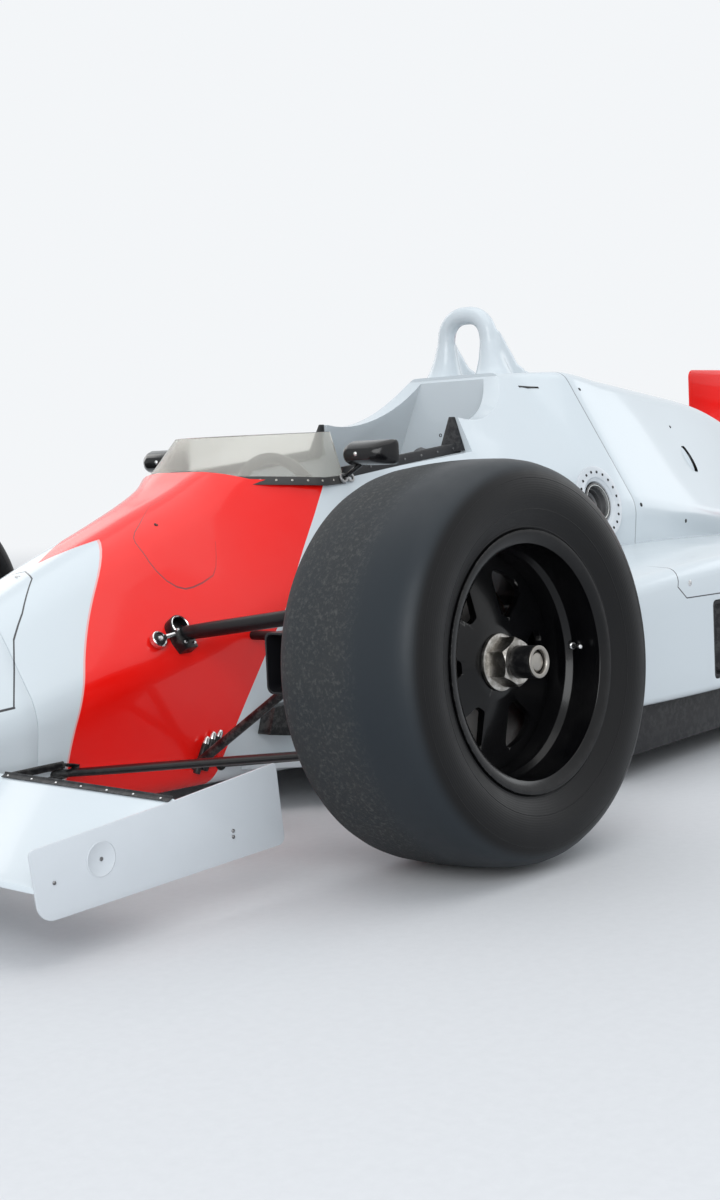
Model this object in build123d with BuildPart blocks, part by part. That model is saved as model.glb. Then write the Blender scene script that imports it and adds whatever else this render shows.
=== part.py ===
from build123d import *
import os
from math import cos, radians, sin

# A single seat, open wheel racing car of the late 1980s.
# Frame: +X to the nose, +Y to the car's left, +Z up, origin on the ground under the middle of the car.

os.makedirs("parts", exist_ok=True)

# Driving dimensions
OVERALL_LENGTH = 4850.0
REAR_WIDTH = 1994.0
WHEELBASE = 2845.0
FRONT_OVERHANG = 1050.0
NOSE_X = OVERALL_LENGTH / 2
TAIL_X = -OVERALL_LENGTH / 2
FRONT_AXLE_X = NOSE_X - FRONT_OVERHANG
REAR_AXLE_X = FRONT_AXLE_X - WHEELBASE

# Wheels and tyres
FRONT_TRACK_Y = 852.0
FRONT_HUB_Z = 325.0
FRONT_CAMBER = 3.3
REAR_TYRE_HALF = 197.0
REAR_TRACK_Y = REAR_WIDTH / 2 - REAR_TYRE_HALF
REAR_HUB_Z = 343.0
FLANGE_RADIUS = 207.0
SPOKE_WINDOWS = 6
# A window's outline, seen from outside: distance from the axle, then sideways
SPOKE_WINDOW = [(78, -11), (148, -48), (156, 0), (148, 48), (78, 11)]
SPOKE_WINDOW_CORNER = 9.0
RUNNING_FIT = 0.05

# Steering: the kingpin leans with the wheel
KINGPIN_Y = 694.0
BALL_JOINT_LOW_Z = 175.0
BALL_JOINT_HIGH_Z = 418.0
STEERING_ARM = 110.0
TRACK_ROD_Z = 335.0

# Bodywork joints and heights
NOSE_JOINT_X = 1740.0
COWL_X = 1240.0
FIN_X = 583.0
FIN_Y = 196.0
HOOP_X = 280.0
BULKHEAD_X = 345.0
COVER_JOINT_X = 175.0
COVER_END_X = -1010.0
COVER_SLOT = 520.0
COVER_SLOT_WIDTH = 308.0
COVER_SLOT_TOP_Z = 300.0
HOOP_TOP_Z = 998.0
FLOOR_Z = 60.0
FLOOR_THICK = 8.0
SKIN = 5.0
STATION_STEP = 62.0
# Half width of a cut that goes right through the body
CUT_HALF = 450.0


def save(part, label):
    """Labels a finished piece and writes it."""
    part.label = label
    export_step(part, f"parts/{label}.step")


def mirrored(part, label):
    """The same piece on the car's right."""
    with BuildPart() as other:
        mirror(part, about=Plane.XZ)
    save(other.part, label)
    return other.part


def across(x):
    """A plane that cuts the car at x, its first axis to the left and its second up."""
    return Plane(origin=(x, 0, 0), x_dir=(0, 1, 0), z_dir=(1, 0, 0))


def side_view(y):
    """A plane that stands along the car at y, its first axis to the nose and its second up."""
    return Plane(origin=(0, y, 0), x_dir=(1, 0, 0), z_dir=(0, -1, 0))


def strut(start, end, radius, mode=Mode.ADD):
    """A round bar from one point to another."""
    run = Vector(*end) - Vector(*start)
    with Locations(Plane(origin=start, z_dir=run).location):
        Cylinder(radius, run.length, align=(Align.CENTER, Align.CENTER, Align.MIN), mode=mode)


def eased(table, x):
    """The table's row at x, each column eased between its rows with no overshoot."""
    rows = sorted(table)
    k = max(i for i in range(len(rows) - 1) if rows[i][0] <= x + 1e-6)
    values = []
    for column in range(1, len(rows[0])):
        runs = [b[0] - a[0] for a, b in zip(rows, rows[1:])]
        grades = [(b[column] - a[column]) / run for a, b, run in zip(rows, rows[1:], runs)]
        slopes = [grades[0]]
        for before, after in zip(grades, grades[1:]):
            slopes.append(0.0 if before * after <= 0 else 2 * before * after / (before + after))
        slopes.append(grades[-1])
        t = (x - rows[k][0]) / runs[k]
        start, end = rows[k][column], rows[k + 1][column]
        values.append(
            start * (1 + 2 * t) * (1 - t) ** 2
            + end * t * t * (3 - 2 * t)
            + runs[k] * (slopes[k] * t * (1 - t) ** 2 - slopes[k + 1] * t * t * (1 - t))
        )
    return values


def hull_section(table, x, inset):
    """A six cornered section of a body at x: foot, side and top corners, each with its radius."""
    foot_y, foot_z, side_y, side_z, top_y, top_z, foot_r, side_r, top_r = eased(table, x)
    corners = [
        (foot_y - inset, foot_z + inset),
        (side_y - inset, side_z),
        (top_y - 0.8 * inset, top_z - inset),
    ]
    keel = (0, foot_z + inset)
    crown = (0, top_z - inset)
    with BuildSketch(across(x)) as section:
        with BuildLine():
            FilletPolyline(keel, *corners, crown, radius=[foot_r, side_r, top_r])
            other = [(-y, z) for y, z in reversed(corners)]
            FilletPolyline(crown, *other, keel, radius=[top_r, side_r, foot_r])
        make_face()
    return section.sketch


def hull(table, x_front, x_rear, inset=0.0, mode=Mode.ADD):
    """A body between two stations, lofted straight from section to section."""
    count = max(1, round((x_front - x_rear) / STATION_STEP))
    for i in range(count + 1):
        add(hull_section(table, x_front + (x_rear - x_front) * i / count, inset))
    loft(ruled=True, mode=mode)


# Main body, columns: x, foot half width and height, side the same, top the same, radii of the three
BODY = [
    (NOSE_X, 62, 112, 74, 134, 40, 166, 12, 12, 18),
    (2330, 92, 84, 112, 145, 52, 216, 24, 30, 42),
    (2150, 118, 72, 142, 180, 62, 282, 30, 60, 72),
    (1950, 146, 66, 172, 214, 72, 345, 34, 80, 94),
    (NOSE_JOINT_X, 174, 60, 197, 250, 80, 420, 36, 100, 112),
    (1557, 192, 60, 213, 290, 84, 498, 36, 110, 122),
    (1394, 206, 60, 226, 325, 90, 563, 36, 110, 126),
    (COWL_X, 230, 60, 247, 370, 112, 628, 36, 110, 117),
    (1045, 262, 60, 281, 440, 190, 760, 36, 110, 60),
    (815, 290, 60, 300, 470, 168, 800, 36, 110, 50),
    (FIN_X, 310, 60, 322, 490, 150, 850, 36, 110, 44),
    (400, 330, 60, 354, 505, 128, 836, 36, 100, 34),
    (290, 345, 60, 380, 515, 127, 834, 36, 90, 34),
    (COVER_JOINT_X, 350, 60, 388, 520, 196, 834, 36, 80, 50),
    (0, 350, 100, 382, 500, 190, 812, 36, 80, 60),
    (-250, 330, 110, 352, 470, 160, 785, 36, 80, 70),
    (-520, 280, 130, 300, 440, 128, 752, 36, 80, 70),
    (-760, 220, 170, 240, 400, 96, 690, 30, 70, 60),
    (COVER_END_X, 160, 220, 176, 370, 60, 560, 24, 50, 40),
]

# The middle and the rear of the body with nothing cut from them, to trim what lies against it
with BuildPart() as tub_core:
    hull(BODY, NOSE_JOINT_X, COVER_JOINT_X)
with BuildPart() as cover_core:
    hull(BODY, COVER_JOINT_X, COVER_END_X)

with BuildPart() as nose_cone:
    hull(BODY, NOSE_X, NOSE_JOINT_X)
save(nose_cone.part, "nose_cone")

# Webs that trail back from the roll hoop's legs over the cover's joint, seen from the side
HOOP_WEB_Y = 75.0
HOOP_WEB_HALF = 15.0
HOOP_FOOT_Z = 800.0
WEB_JOINT_Z = 846.0
WEB_TAIL = (112.0, 828.0)
WEB_TAIL_FOOT_Z = 810.0

# The tub's cut away side view: windscreen foot, cockpit rim, fin and the sweep up to the hoop
RIM = [(1214, 644), (1174, 626), (1046, 611), (815, 636), (FIN_X, 658)]
SWEEP = [(FIN_X, 733), (430, 750), (341, 827)]
# Above all of the body
SKY_Z = 1100.0
# Cockpit space, columns: x, half widths and heights of its floor, its side and its open top
COCKPIT = [
    (1060, 200, 90, 250, 440, 150, 900),
    (815, 235, 90, 268, 470, 146, 900),
    (FIN_X, 240, 120, 284, 490, 110, 900),
    (BULKHEAD_X, 150, 330, 230, 520, 58, 900),
]
# Footwell, columns: x, height of its middle, width, height
FOOTWELL = [(1060, 285, 400, 380), (1600, 230, 300, 270)]
FOOTWELL_CORNER = 60.0
RACK_X = FRONT_AXLE_X - STEERING_ARM
RACK_HOLE = 16.0
FILLER = (317.0, 366.0, 530.0)
FILLER_TILT = 13.0
FILLER_BORE = 44.0
FILLER_WALL = 6.0
FILLER_FLANGE = 82.0
FILLER_RISE = 20.0
FILLER_DEPTH = 26.0
filler_axis = (0, cos(radians(FILLER_TILT)), sin(radians(FILLER_TILT)))
filler_plane = Plane(origin=FILLER, x_dir=(1, 0, 0), z_dir=filler_axis)
with BuildPart() as tub:
    add(tub_core.part)
    with BuildSketch(side_view(0)):
        with BuildLine():
            Polyline(*RIM, SWEEP[0])
            ThreePointArc(*SWEEP)
            Polyline(SWEEP[-1], (SWEEP[-1][0], SKY_Z), (RIM[0][0], SKY_Z), RIM[0])
        make_face()
    extrude(amount=CUT_HALF, both=True, mode=Mode.SUBTRACT)
    for x, *corners in COCKPIT:
        with BuildSketch(across(x)):
            with BuildLine():
                half = list(zip(corners[::2], corners[1::2]))
                Polyline(*half, *[(-y, z) for y, z in reversed(half)], close=True)
            make_face()
    loft(ruled=True, mode=Mode.SUBTRACT)
    # Footwell, from the cockpit to the pedals
    for x, middle_z, width, height in FOOTWELL:
        with BuildSketch(across(x)):
            with Locations((0, middle_z)):
                RectangleRounded(width, height, FOOTWELL_CORNER)
    loft(mode=Mode.SUBTRACT)
    # The steering rack passes through both walls of the footwell
    with BuildSketch(side_view(0)):
        with Locations((RACK_X, TRACK_ROD_Z)):
            Circle(RACK_HOLE)
    extrude(amount=CUT_HALF, both=True, mode=Mode.SUBTRACT)
    # Refuelling throat in the left wall
    with BuildSketch(filler_plane.offset(-FILLER_DEPTH)):
        Circle(FILLER_BORE + FILLER_WALL)
    extrude(amount=FILLER_DEPTH + 2 * FILLER_RISE, mode=Mode.SUBTRACT)
save(tub.part, "tub")

with BuildPart() as engine_cover:
    add(cover_core.part)
    for side in (1, -1):
        with BuildSketch(side_view(side * HOOP_WEB_Y)):
            with BuildLine():
                Polyline(
                    (COVER_JOINT_X, WEB_JOINT_Z), WEB_TAIL, (WEB_TAIL[0], WEB_TAIL_FOOT_Z),
                    (COVER_JOINT_X, WEB_TAIL_FOOT_Z), close=True,
                )
            make_face()
        extrude(amount=HOOP_WEB_HALF, both=True)
    hull(BODY, COVER_JOINT_X, COVER_END_X, SKIN, Mode.SUBTRACT)
    # Open underneath, along the gearbox
    with BuildSketch(Plane.XY):
        with Locations((COVER_END_X, 0)):
            Rectangle(2 * COVER_SLOT, COVER_SLOT_WIDTH)
    extrude(amount=COVER_SLOT_TOP_Z, mode=Mode.SUBTRACT)
save(engine_cover.part, "engine_cover")

# Roll hoop: two legs and an arch of round bar, each leg flared where it meets the body
HOOP_BAR = 23.0
HOOP_LEG_Y = 66.0
HOOP_LEAN_Y = 8.0
HOOP_BEND = 52.0
HOOP_WEB_TOP = (HOOP_X - 6, 935.0)
HOOP_WEB_WAIST = (205.0, 858.0)
with BuildPart() as roll_hoop:
    with BuildLine() as hoop_path:
        crown_z = HOOP_TOP_Z - HOOP_BAR
        FilletPolyline(
            (HOOP_X, -HOOP_LEG_Y - HOOP_LEAN_Y, HOOP_FOOT_Z),
            (HOOP_X, -HOOP_LEG_Y + HOOP_LEAN_Y, crown_z),
            (HOOP_X, HOOP_LEG_Y - HOOP_LEAN_Y, crown_z),
            (HOOP_X, HOOP_LEG_Y + HOOP_LEAN_Y, HOOP_FOOT_Z),
            radius=HOOP_BEND,
        )
    with BuildSketch(Plane(origin=hoop_path.line @ 0, z_dir=hoop_path.line % 0)):
        Circle(HOOP_BAR)
    sweep()
    for side in (1, -1):
        with BuildSketch(side_view(side * HOOP_WEB_Y)):
            with BuildLine():
                Polyline(
                    HOOP_WEB_TOP, HOOP_WEB_WAIST, (COVER_JOINT_X, WEB_JOINT_Z), (COVER_JOINT_X, HOOP_FOOT_Z),
                    (HOOP_WEB_TOP[0], HOOP_FOOT_Z), close=True,
                )
            make_face()
        extrude(amount=HOOP_WEB_HALF, both=True)
    add(tub.part, mode=Mode.SUBTRACT)
save(roll_hoop.part, "roll_hoop")

# Low wrap-around windscreen, a wall between its foot line and a higher line further back
SCREEN_THICK = 4.0
SCREEN_END_X = 990.0
# Columns: height, x of its middle, half width, x where its side begins to curve
SCREEN_LINES = [(611, 1236, 240, 1060), (712, 1138, 205, 1010)]
with BuildPart() as windscreen:
    for z, nose_x, half, corner_x in SCREEN_LINES:
        inner = half - SCREEN_THICK
        with BuildSketch(Plane.XY.offset(z)):
            with BuildLine():
                Line((SCREEN_END_X, half), (corner_x, half))
                ThreePointArc((corner_x, half), (nose_x, 0), (corner_x, -half))
                Line((corner_x, -half), (SCREEN_END_X, -half))
                Line((SCREEN_END_X, -half), (SCREEN_END_X, -inner))
                Line((SCREEN_END_X, -inner), (corner_x, -inner))
                ThreePointArc((corner_x, -inner), (nose_x - SCREEN_THICK, 0), (corner_x, inner))
                Line((corner_x, inner), (SCREEN_END_X, inner))
                Line((SCREEN_END_X, inner), (SCREEN_END_X, half))
            make_face()
    loft(ruled=True)
    add(tub.part, mode=Mode.SUBTRACT)
save(windscreen.part, "windscreen")

# Black edging along each side of the cockpit rim, ending in an upright fin
EDGE_HEIGHT = 26.0
EDGE_THICK = 9.0
# Columns: x, y, height of its foot
EDGE_LINE = [(SCREEN_END_X - 2, 232, 616), (815, 222, 634), (FIN_X + 1, 207, 656)]
FIN_FOOT_Z = 664.0
FIN_TOP_Z = 735.0
FIN_LENGTH = 48.0
FIN_TIP = 10.0
FIN_HALF = 6.0
with BuildPart() as cockpit_edging:
    for side in (1, -1):
        for x, y, foot_z in EDGE_LINE:
            with BuildSketch(across(x)):
                with Locations((side * y, foot_z + EDGE_HEIGHT / 2)):
                    Rectangle(EDGE_THICK, EDGE_HEIGHT)
        loft(ruled=True)
        with BuildSketch(side_view(side * FIN_Y)):
            with BuildLine():
                Polyline(
                    (FIN_X + 1, FIN_FOOT_Z), (FIN_X + FIN_LENGTH, FIN_FOOT_Z), (FIN_X + FIN_TIP, FIN_TOP_Z),
                    (FIN_X + 1, FIN_TOP_Z), close=True,
                )
            make_face()
        extrude(amount=FIN_HALF, both=True)
    add(tub.part, mode=Mode.SUBTRACT)
save(cockpit_edging.part, "cockpit_edging")

# Mirrors on short stalks
MIRROR = (985.0, 302.0, 666.0)
MIRROR_CORNER = 12.0
# Housing sections, columns: x from the mirror's middle, y and z the same, width, height
MIRROR_SECTIONS = [(-24, 0, 0, 118, 50), (30, -6, -2, 78, 26)]
MIRROR_RIM = 5.0
GLASS_SET_BACK = 4.0
STALK_RADIUS = 5.0
STALK_FOOT = (989.0, 238.0, 618.0)
with BuildPart() as mirrors:
    for x, y, z, width, height in MIRROR_SECTIONS:
        with BuildSketch(across(MIRROR[0] + x)):
            with Locations((MIRROR[1] + y, MIRROR[2] + z)):
                RectangleRounded(width, height, MIRROR_CORNER)
    loft()
    back_x, back_y, back_z, back_width, back_height = MIRROR_SECTIONS[0]
    with BuildSketch(across(MIRROR[0] + back_x)):
        with Locations((MIRROR[1] + back_y, MIRROR[2] + back_z)):
            RectangleRounded(back_width - 2 * MIRROR_RIM, back_height - 2 * MIRROR_RIM, MIRROR_CORNER - 4)
    extrude(amount=GLASS_SET_BACK, mode=Mode.SUBTRACT)
    strut((MIRROR[0] - 4, MIRROR[1] - 20, MIRROR[2] - 14), STALK_FOOT, STALK_RADIUS)
    add(tub.part, mode=Mode.SUBTRACT)
    add(cockpit_edging.part, mode=Mode.SUBTRACT)
    add(windscreen.part, mode=Mode.SUBTRACT)
    mirror(about=Plane.XZ)
save(mirrors.part, "mirrors")

# Refuelling flange and throat
with BuildPart() as fuel_filler:
    with BuildSketch(filler_plane):
        Circle(FILLER_FLANGE)
    extrude(amount=FILLER_RISE)
    add(tub_core.part, mode=Mode.SUBTRACT)
    with BuildSketch(filler_plane.offset(-FILLER_DEPTH)):
        Circle(FILLER_BORE + FILLER_WALL)
    extrude(amount=40)
    with BuildSketch(filler_plane.offset(FILLER_WALL - FILLER_DEPTH)):
        Circle(FILLER_BORE)
    extrude(amount=FILLER_DEPTH + 2 * FILLER_RISE, mode=Mode.SUBTRACT)
save(fuel_filler.part, "fuel_filler")

# Seat: a bucket with side walls, standing in the cockpit
SEAT_HALF = 165.0
SEAT_WALL = 10.0
# The seat's side view, from the knees down and up to the shoulders, then back down behind
SEAT_LINE = [(950, 112), (720, 124), (606, 160), (430, 470), (404, 640)]
SEAT_BACK = [(384, 640), (408, 465), (584, 140), (712, 104), (950, 90)]
SEAT_SIDE = [(560, 440), (700, 220), (950, 200)]
with BuildPart() as seat:
    with BuildSketch(side_view(0)):
        with BuildLine():
            Polyline(*SEAT_LINE, *SEAT_BACK, close=True)
        make_face()
    extrude(amount=SEAT_HALF, both=True)
    for side in (1, -1):
        with BuildSketch(side_view(side * (SEAT_HALF - SEAT_WALL / 2))):
            with BuildLine():
                Polyline(*SEAT_LINE[:4], *SEAT_SIDE, close=True)
            make_face()
        extrude(amount=SEAT_WALL / 2, both=True)
    add(tub.part, mode=Mode.SUBTRACT)
save(seat.part, "seat")

# Steering wheel, its column running forward and down through the dash
WHEEL_HUB = (930.0, 0.0, 545.0)
COLUMN_SLOPE = 14.0
GRIP_RADIUS = 122.0
GRIP_BAR = 12.0
COLUMN_RADIUS = 11.0
COLUMN_LENGTH = 120.0
BOSS_RADIUS = 34.0
SPOKE_WIDTH = 26.0
SPOKE_THICK = 8.0
column_axis = Vector(cos(radians(COLUMN_SLOPE)), 0, -sin(radians(COLUMN_SLOPE)))

# Dash bulkhead with its instrument panel
DASH_X = 1040.0
DASH_Z = 585.0
DASH_THICK = 16.0
DASH_SIZE = (440.0, 70.0)
DASH_CORNER = 20.0
GAUGE_RADIUS = 24.0
GAUGE_RISE = 4.0
GAUGE_Y = 78.0
with BuildPart() as dashboard:
    with BuildSketch(across(DASH_X)):
        with Locations((0, DASH_Z)):
            RectangleRounded(*DASH_SIZE, DASH_CORNER)
    extrude(amount=-DASH_THICK)
    with BuildSketch(across(DASH_X - DASH_THICK)):
        with Locations((-GAUGE_Y, DASH_Z), (0, DASH_Z + 6), (GAUGE_Y, DASH_Z)):
            Circle(GAUGE_RADIUS)
    extrude(amount=-GAUGE_RISE)
    strut(WHEEL_HUB, Vector(WHEEL_HUB) + column_axis * COLUMN_LENGTH, COLUMN_RADIUS + 6, Mode.SUBTRACT)
    add(tub.part, mode=Mode.SUBTRACT)
save(dashboard.part, "dashboard")

with BuildPart() as steering_wheel:
    with BuildSketch(Plane(origin=WHEEL_HUB, x_dir=(0, 1, 0), z_dir=column_axis.cross(Vector(0, 1, 0)))):
        with Locations((GRIP_RADIUS, 0)):
            Circle(GRIP_BAR)
    revolve(axis=Axis(WHEEL_HUB, column_axis))
    with BuildSketch(Plane(origin=WHEEL_HUB, x_dir=(0, 1, 0), z_dir=column_axis).offset(-SPOKE_THICK / 2)):
        Circle(BOSS_RADIUS)
        Rectangle(2 * GRIP_RADIUS, SPOKE_WIDTH)
        with Locations((0, -GRIP_RADIUS / 2)):
            Rectangle(SPOKE_WIDTH, GRIP_RADIUS)
    extrude(amount=SPOKE_THICK)
    strut(WHEEL_HUB, Vector(WHEEL_HUB) + column_axis * COLUMN_LENGTH, COLUMN_RADIUS)
save(steering_wheel.part, "steering_wheel")

# Sidepods, columns: x, outer half width, foot height, shoulder height, crease height
POD_ROOT_Y = 220.0
POD_OUTER_Y = 760.0
POD_WALL = 6.0
PODS = [
    (775, 690, 150, 380, 420),
    (690, 718, 146, 392, 430),
    (413, 721, 143, 414, 437),
    (150, 721, 143, 424, 438),
    (-200, 712, 146, 420, 430),
    (-500, 640, 156, 392, 400),
    (-760, 520, 180, 350, 356),
    (-950, 390, 220, 300, 306),
]
VENT_FRONT_X = 413.0
VENT_REAR_X = 60.0
VENT_LOW_Z = 168.0
VENT_HIGH_Z = 332.0
VENT_CORNER = 10.0
POD_FOOT_RADIUS = 16.0
POD_SHOULDER_RADIUS = 34.0
POD_STATIONS = 28


def pod_loft(inset, mode):
    """One sidepod, from its inlet to its tail, drawn inset from its outer skin."""
    for i in range(POD_STATIONS + 1):
        x = PODS[0][0] + (PODS[-1][0] - PODS[0][0]) * i / POD_STATIONS
        outer_y, foot_z, shoulder_z, crease_z = eased(PODS, x)
        with BuildSketch(across(x)) as section:
            with BuildLine():
                FilletPolyline(
                    (POD_ROOT_Y, foot_z + inset),
                    (outer_y - inset, foot_z + inset),
                    (outer_y - inset, shoulder_z - inset),
                    (POD_ROOT_Y, crease_z - inset),
                    radius=[POD_FOOT_RADIUS - inset, POD_SHOULDER_RADIUS - inset],
                )
                Line((POD_ROOT_Y, crease_z - inset), (POD_ROOT_Y, foot_z + inset))
            make_face()
        add(section.sketch)
    loft(ruled=True, mode=mode)


with BuildPart() as sidepod_left:
    pod_loft(0, Mode.ADD)
    pod_loft(POD_WALL, Mode.SUBTRACT)
    with BuildSketch(side_view(POD_OUTER_Y)):
        with BuildLine():
            FilletPolyline(
                (VENT_FRONT_X, VENT_LOW_Z), (VENT_FRONT_X, VENT_HIGH_Z), (VENT_REAR_X, VENT_HIGH_Z),
                (VENT_REAR_X, VENT_LOW_Z), radius=VENT_CORNER,
            )
            Line((VENT_FRONT_X, VENT_LOW_Z), (VENT_REAR_X, VENT_LOW_Z))
        make_face()
    extrude(amount=120, mode=Mode.SUBTRACT)
    add(tub_core.part, mode=Mode.SUBTRACT)
    add(cover_core.part, mode=Mode.SUBTRACT)
save(sidepod_left.part, "sidepod_left")
sidepod_right = mirrored(sidepod_left.part, "sidepod_right")

# Radiator cores, slanted inside the pods
CORE_OUTLINE = [(640, 420), (470, 690), (430, 665), (600, 395)]
CORE_FOOT_Z = 148.0
CORE_HEIGHT = 240.0
with BuildPart() as radiators:
    for side in (1, -1):
        with BuildSketch(Plane.XY.offset(CORE_FOOT_Z)):
            with BuildLine():
                Polyline(*[(x, side * y) for x, y in CORE_OUTLINE], close=True)
            make_face()
        extrude(amount=CORE_HEIGHT)
    add(sidepod_left.part, mode=Mode.SUBTRACT)
    add(sidepod_right, mode=Mode.SUBTRACT)
save(radiators.part, "radiators")

# Underbody: a floor with upturned edges, and two tunnels that rise behind the engine
FLOOR_EDGE_Y = 690.0
FLOOR_FRONT_X = 780.0
FLOOR_REAR_X = -900.0
TUNNEL_FRONT_X = FLOOR_REAR_X + 40
TUNNEL_END_X = -1520.0
TUNNEL_END_Z = 168.0
TUNNEL_Y = 255.0
TUNNEL_HALF = 145.0
FENCE_Y = 149.0
FENCE_HALF = 4.0
FENCE_END_Z = 62.0
FLOOR_TOP_Z = FLOOR_Z - 4
FLOOR_FOOT_Z = FLOOR_TOP_Z - FLOOR_THICK
FLOOR_OUTLINE = [(FLOOR_FRONT_X, 640), (700, FLOOR_EDGE_Y), (-500, 610), (FLOOR_REAR_X, 400)]
EDGE_LIP = 10.0
EDGE_LIP_HEIGHT = 84.0
with BuildPart() as underbody:
    with BuildSketch(Plane.XY.offset(FLOOR_FOOT_Z)):
        with BuildLine():
            Polyline(*FLOOR_OUTLINE, *[(x, -y) for x, y in reversed(FLOOR_OUTLINE)], close=True)
        make_face()
    extrude(amount=FLOOR_THICK)
    for side in (1, -1):
        with BuildSketch(Plane.XY.offset(FLOOR_TOP_Z)):
            with BuildLine():
                (front_x, front_y), (rear_x, rear_y) = FLOOR_OUTLINE[1:3]
                Polyline(
                    (front_x, side * front_y), (rear_x, side * rear_y), (rear_x, side * (rear_y - EDGE_LIP)),
                    (front_x, side * (front_y - EDGE_LIP)), close=True,
                )
            make_face()
        extrude(amount=EDGE_LIP_HEIGHT)
        # The tunnel's roof, then its two side fences
        for y, half, end_z in (
            (TUNNEL_Y, TUNNEL_HALF, TUNNEL_END_Z - FLOOR_THICK),
            (TUNNEL_Y - FENCE_Y, FENCE_HALF, FENCE_END_Z),
            (TUNNEL_Y + FENCE_Y, FENCE_HALF, FENCE_END_Z),
        ):
            with BuildSketch(side_view(side * y)):
                with BuildLine():
                    Polyline(
                        (TUNNEL_FRONT_X, FLOOR_FOOT_Z), (TUNNEL_END_X, end_z), (TUNNEL_END_X, TUNNEL_END_Z),
                        (TUNNEL_FRONT_X, FLOOR_TOP_Z), close=True,
                    )
                make_face()
            extrude(amount=half, both=True)
    add(sidepod_left.part, mode=Mode.SUBTRACT)
    add(sidepod_right, mode=Mode.SUBTRACT)
save(underbody.part, "underbody")

# White shelves that lead the floor forward along the tub
SHELF_Z = 80.0
SHELF_THICK = 12.0
SHELF_REAR_X = FLOOR_FRONT_X - 1
SHELF_OUTLINE = [(1315, 200), (1222, 300), (1000, 480), (SHELF_REAR_X, 640), (SHELF_REAR_X, 220)]
with BuildPart() as floor_shelves:
    for side in (1, -1):
        with BuildSketch(Plane.XY.offset(SHELF_Z)):
            with BuildLine():
                Polyline(*[(x, side * y) for x, y in SHELF_OUTLINE], close=True)
            make_face()
        extrude(amount=SHELF_THICK)
    add(tub_core.part, mode=Mode.SUBTRACT)
save(floor_shelves.part, "floor_shelves")

# Front wing: a cambered blade on each side of the nose, with a metal flip along its rear edge
WING_LEAD = (2170.0, 116.0)
WING_TRAIL = (1917.0, 188.0)
WING_TRAIL_FOOT = (1915.0, 183.0)
WING_LEAD_FOOT = (2174.0, 104.0)
WING_TOP_MIDDLE = (2060.0, 132.0)
WING_FOOT_MIDDLE = (2070.0, 104.0)
WING_TIP_Y = 733.0
FLIP = (1918.0, 192.0)
FLIP_SIZE = (3.0, 16.0)
FLIP_TILT = 12.0
ENDPLATE_THICK = 4.0
with BuildPart() as front_wing:
    with BuildSketch(side_view(0)):
        with BuildLine():
            ThreePointArc(WING_LEAD, WING_TOP_MIDDLE, WING_TRAIL)
            Line(WING_TRAIL, WING_TRAIL_FOOT)
            ThreePointArc(WING_TRAIL_FOOT, WING_FOOT_MIDDLE, WING_LEAD_FOOT)
            Line(WING_LEAD_FOOT, WING_LEAD)
        make_face()
    extrude(amount=WING_TIP_Y, both=True)
    with BuildSketch(side_view(0)):
        with Locations(FLIP):
            Rectangle(*FLIP_SIZE, rotation=FLIP_TILT)
    extrude(amount=WING_TIP_Y, both=True)
    add(nose_cone.part, mode=Mode.SUBTRACT)
save(front_wing.part, "front_wing")

PLATE_REAR_X = 1712.0
with BuildPart() as front_endplates:
    with BuildSketch(side_view(WING_TIP_Y + ENDPLATE_THICK / 2)):
        with BuildLine():
            FilletPolyline(
                (1900, 187.7), (PLATE_REAR_X, 208), (PLATE_REAR_X - 12, 81),
                (2167, 62), (2179, 164), (1940, 184),
                radius=[6, 12, 28, 8],
            )
            Line((1940, 184), (1900, 187.7))
        make_face()
    extrude(amount=ENDPLATE_THICK / 2, both=True)
    mirror(about=Plane.XZ)
save(front_endplates.part, "front_endplates")

# Engine block, and the gearbox that carries the rear suspension and the wing
# Columns: x, width, height of the middle, height
ENGINE = [(COVER_JOINT_X, 360, 300, 380), (-500, 330, 310, 340)]
GEARBOX = [(-500, 300, 320, 330), (-900, 230, 300, 300), (-1300, 190, 300, 270), (-1640, 170, 290, 240)]
ENGINE_CORNER = 30.0
GEARBOX_CORNER = 24.0
AXLE_BOSS_RADIUS = 62.0
AXLE_BOSS_HALF = 104.0
with BuildPart() as engine:
    for x, width, middle_z, height in ENGINE:
        with BuildSketch(across(x)):
            with Locations((0, middle_z)):
                RectangleRounded(width, height, ENGINE_CORNER)
    loft()
save(engine.part, "engine")
with BuildPart() as gearbox:
    for x, width, middle_z, height in GEARBOX:
        with BuildSketch(across(x)):
            with Locations((0, middle_z)):
                RectangleRounded(width, height, GEARBOX_CORNER)
    loft(ruled=True)
    with BuildSketch(side_view(0)):
        with Locations((REAR_AXLE_X, REAR_HUB_Z)):
            Circle(AXLE_BOSS_RADIUS)
    extrude(amount=AXLE_BOSS_HALF, both=True)
save(gearbox.part, "gearbox")

# Turbocharger tail pipe
TAIL_PIPE = Plane(origin=(-960, 0, 476), x_dir=(0, 1, 0), z_dir=(-0.96, 0, 0.12))
TAIL_PIPE_RADIUS = 45.0
TAIL_PIPE_WALL = 3.0
TAIL_PIPE_LENGTH = 330.0
with BuildPart() as exhaust:
    with BuildSketch(TAIL_PIPE):
        Circle(TAIL_PIPE_RADIUS)
        Circle(TAIL_PIPE_RADIUS - TAIL_PIPE_WALL, mode=Mode.SUBTRACT)
    extrude(amount=TAIL_PIPE_LENGTH)
    add(gearbox.part, mode=Mode.SUBTRACT)
save(exhaust.part, "exhaust")

# Rear wing between its endplates, on one post
REAR_PLATE_Y = 548.0
REAR_PLATE_THICK = 6.0
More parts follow.
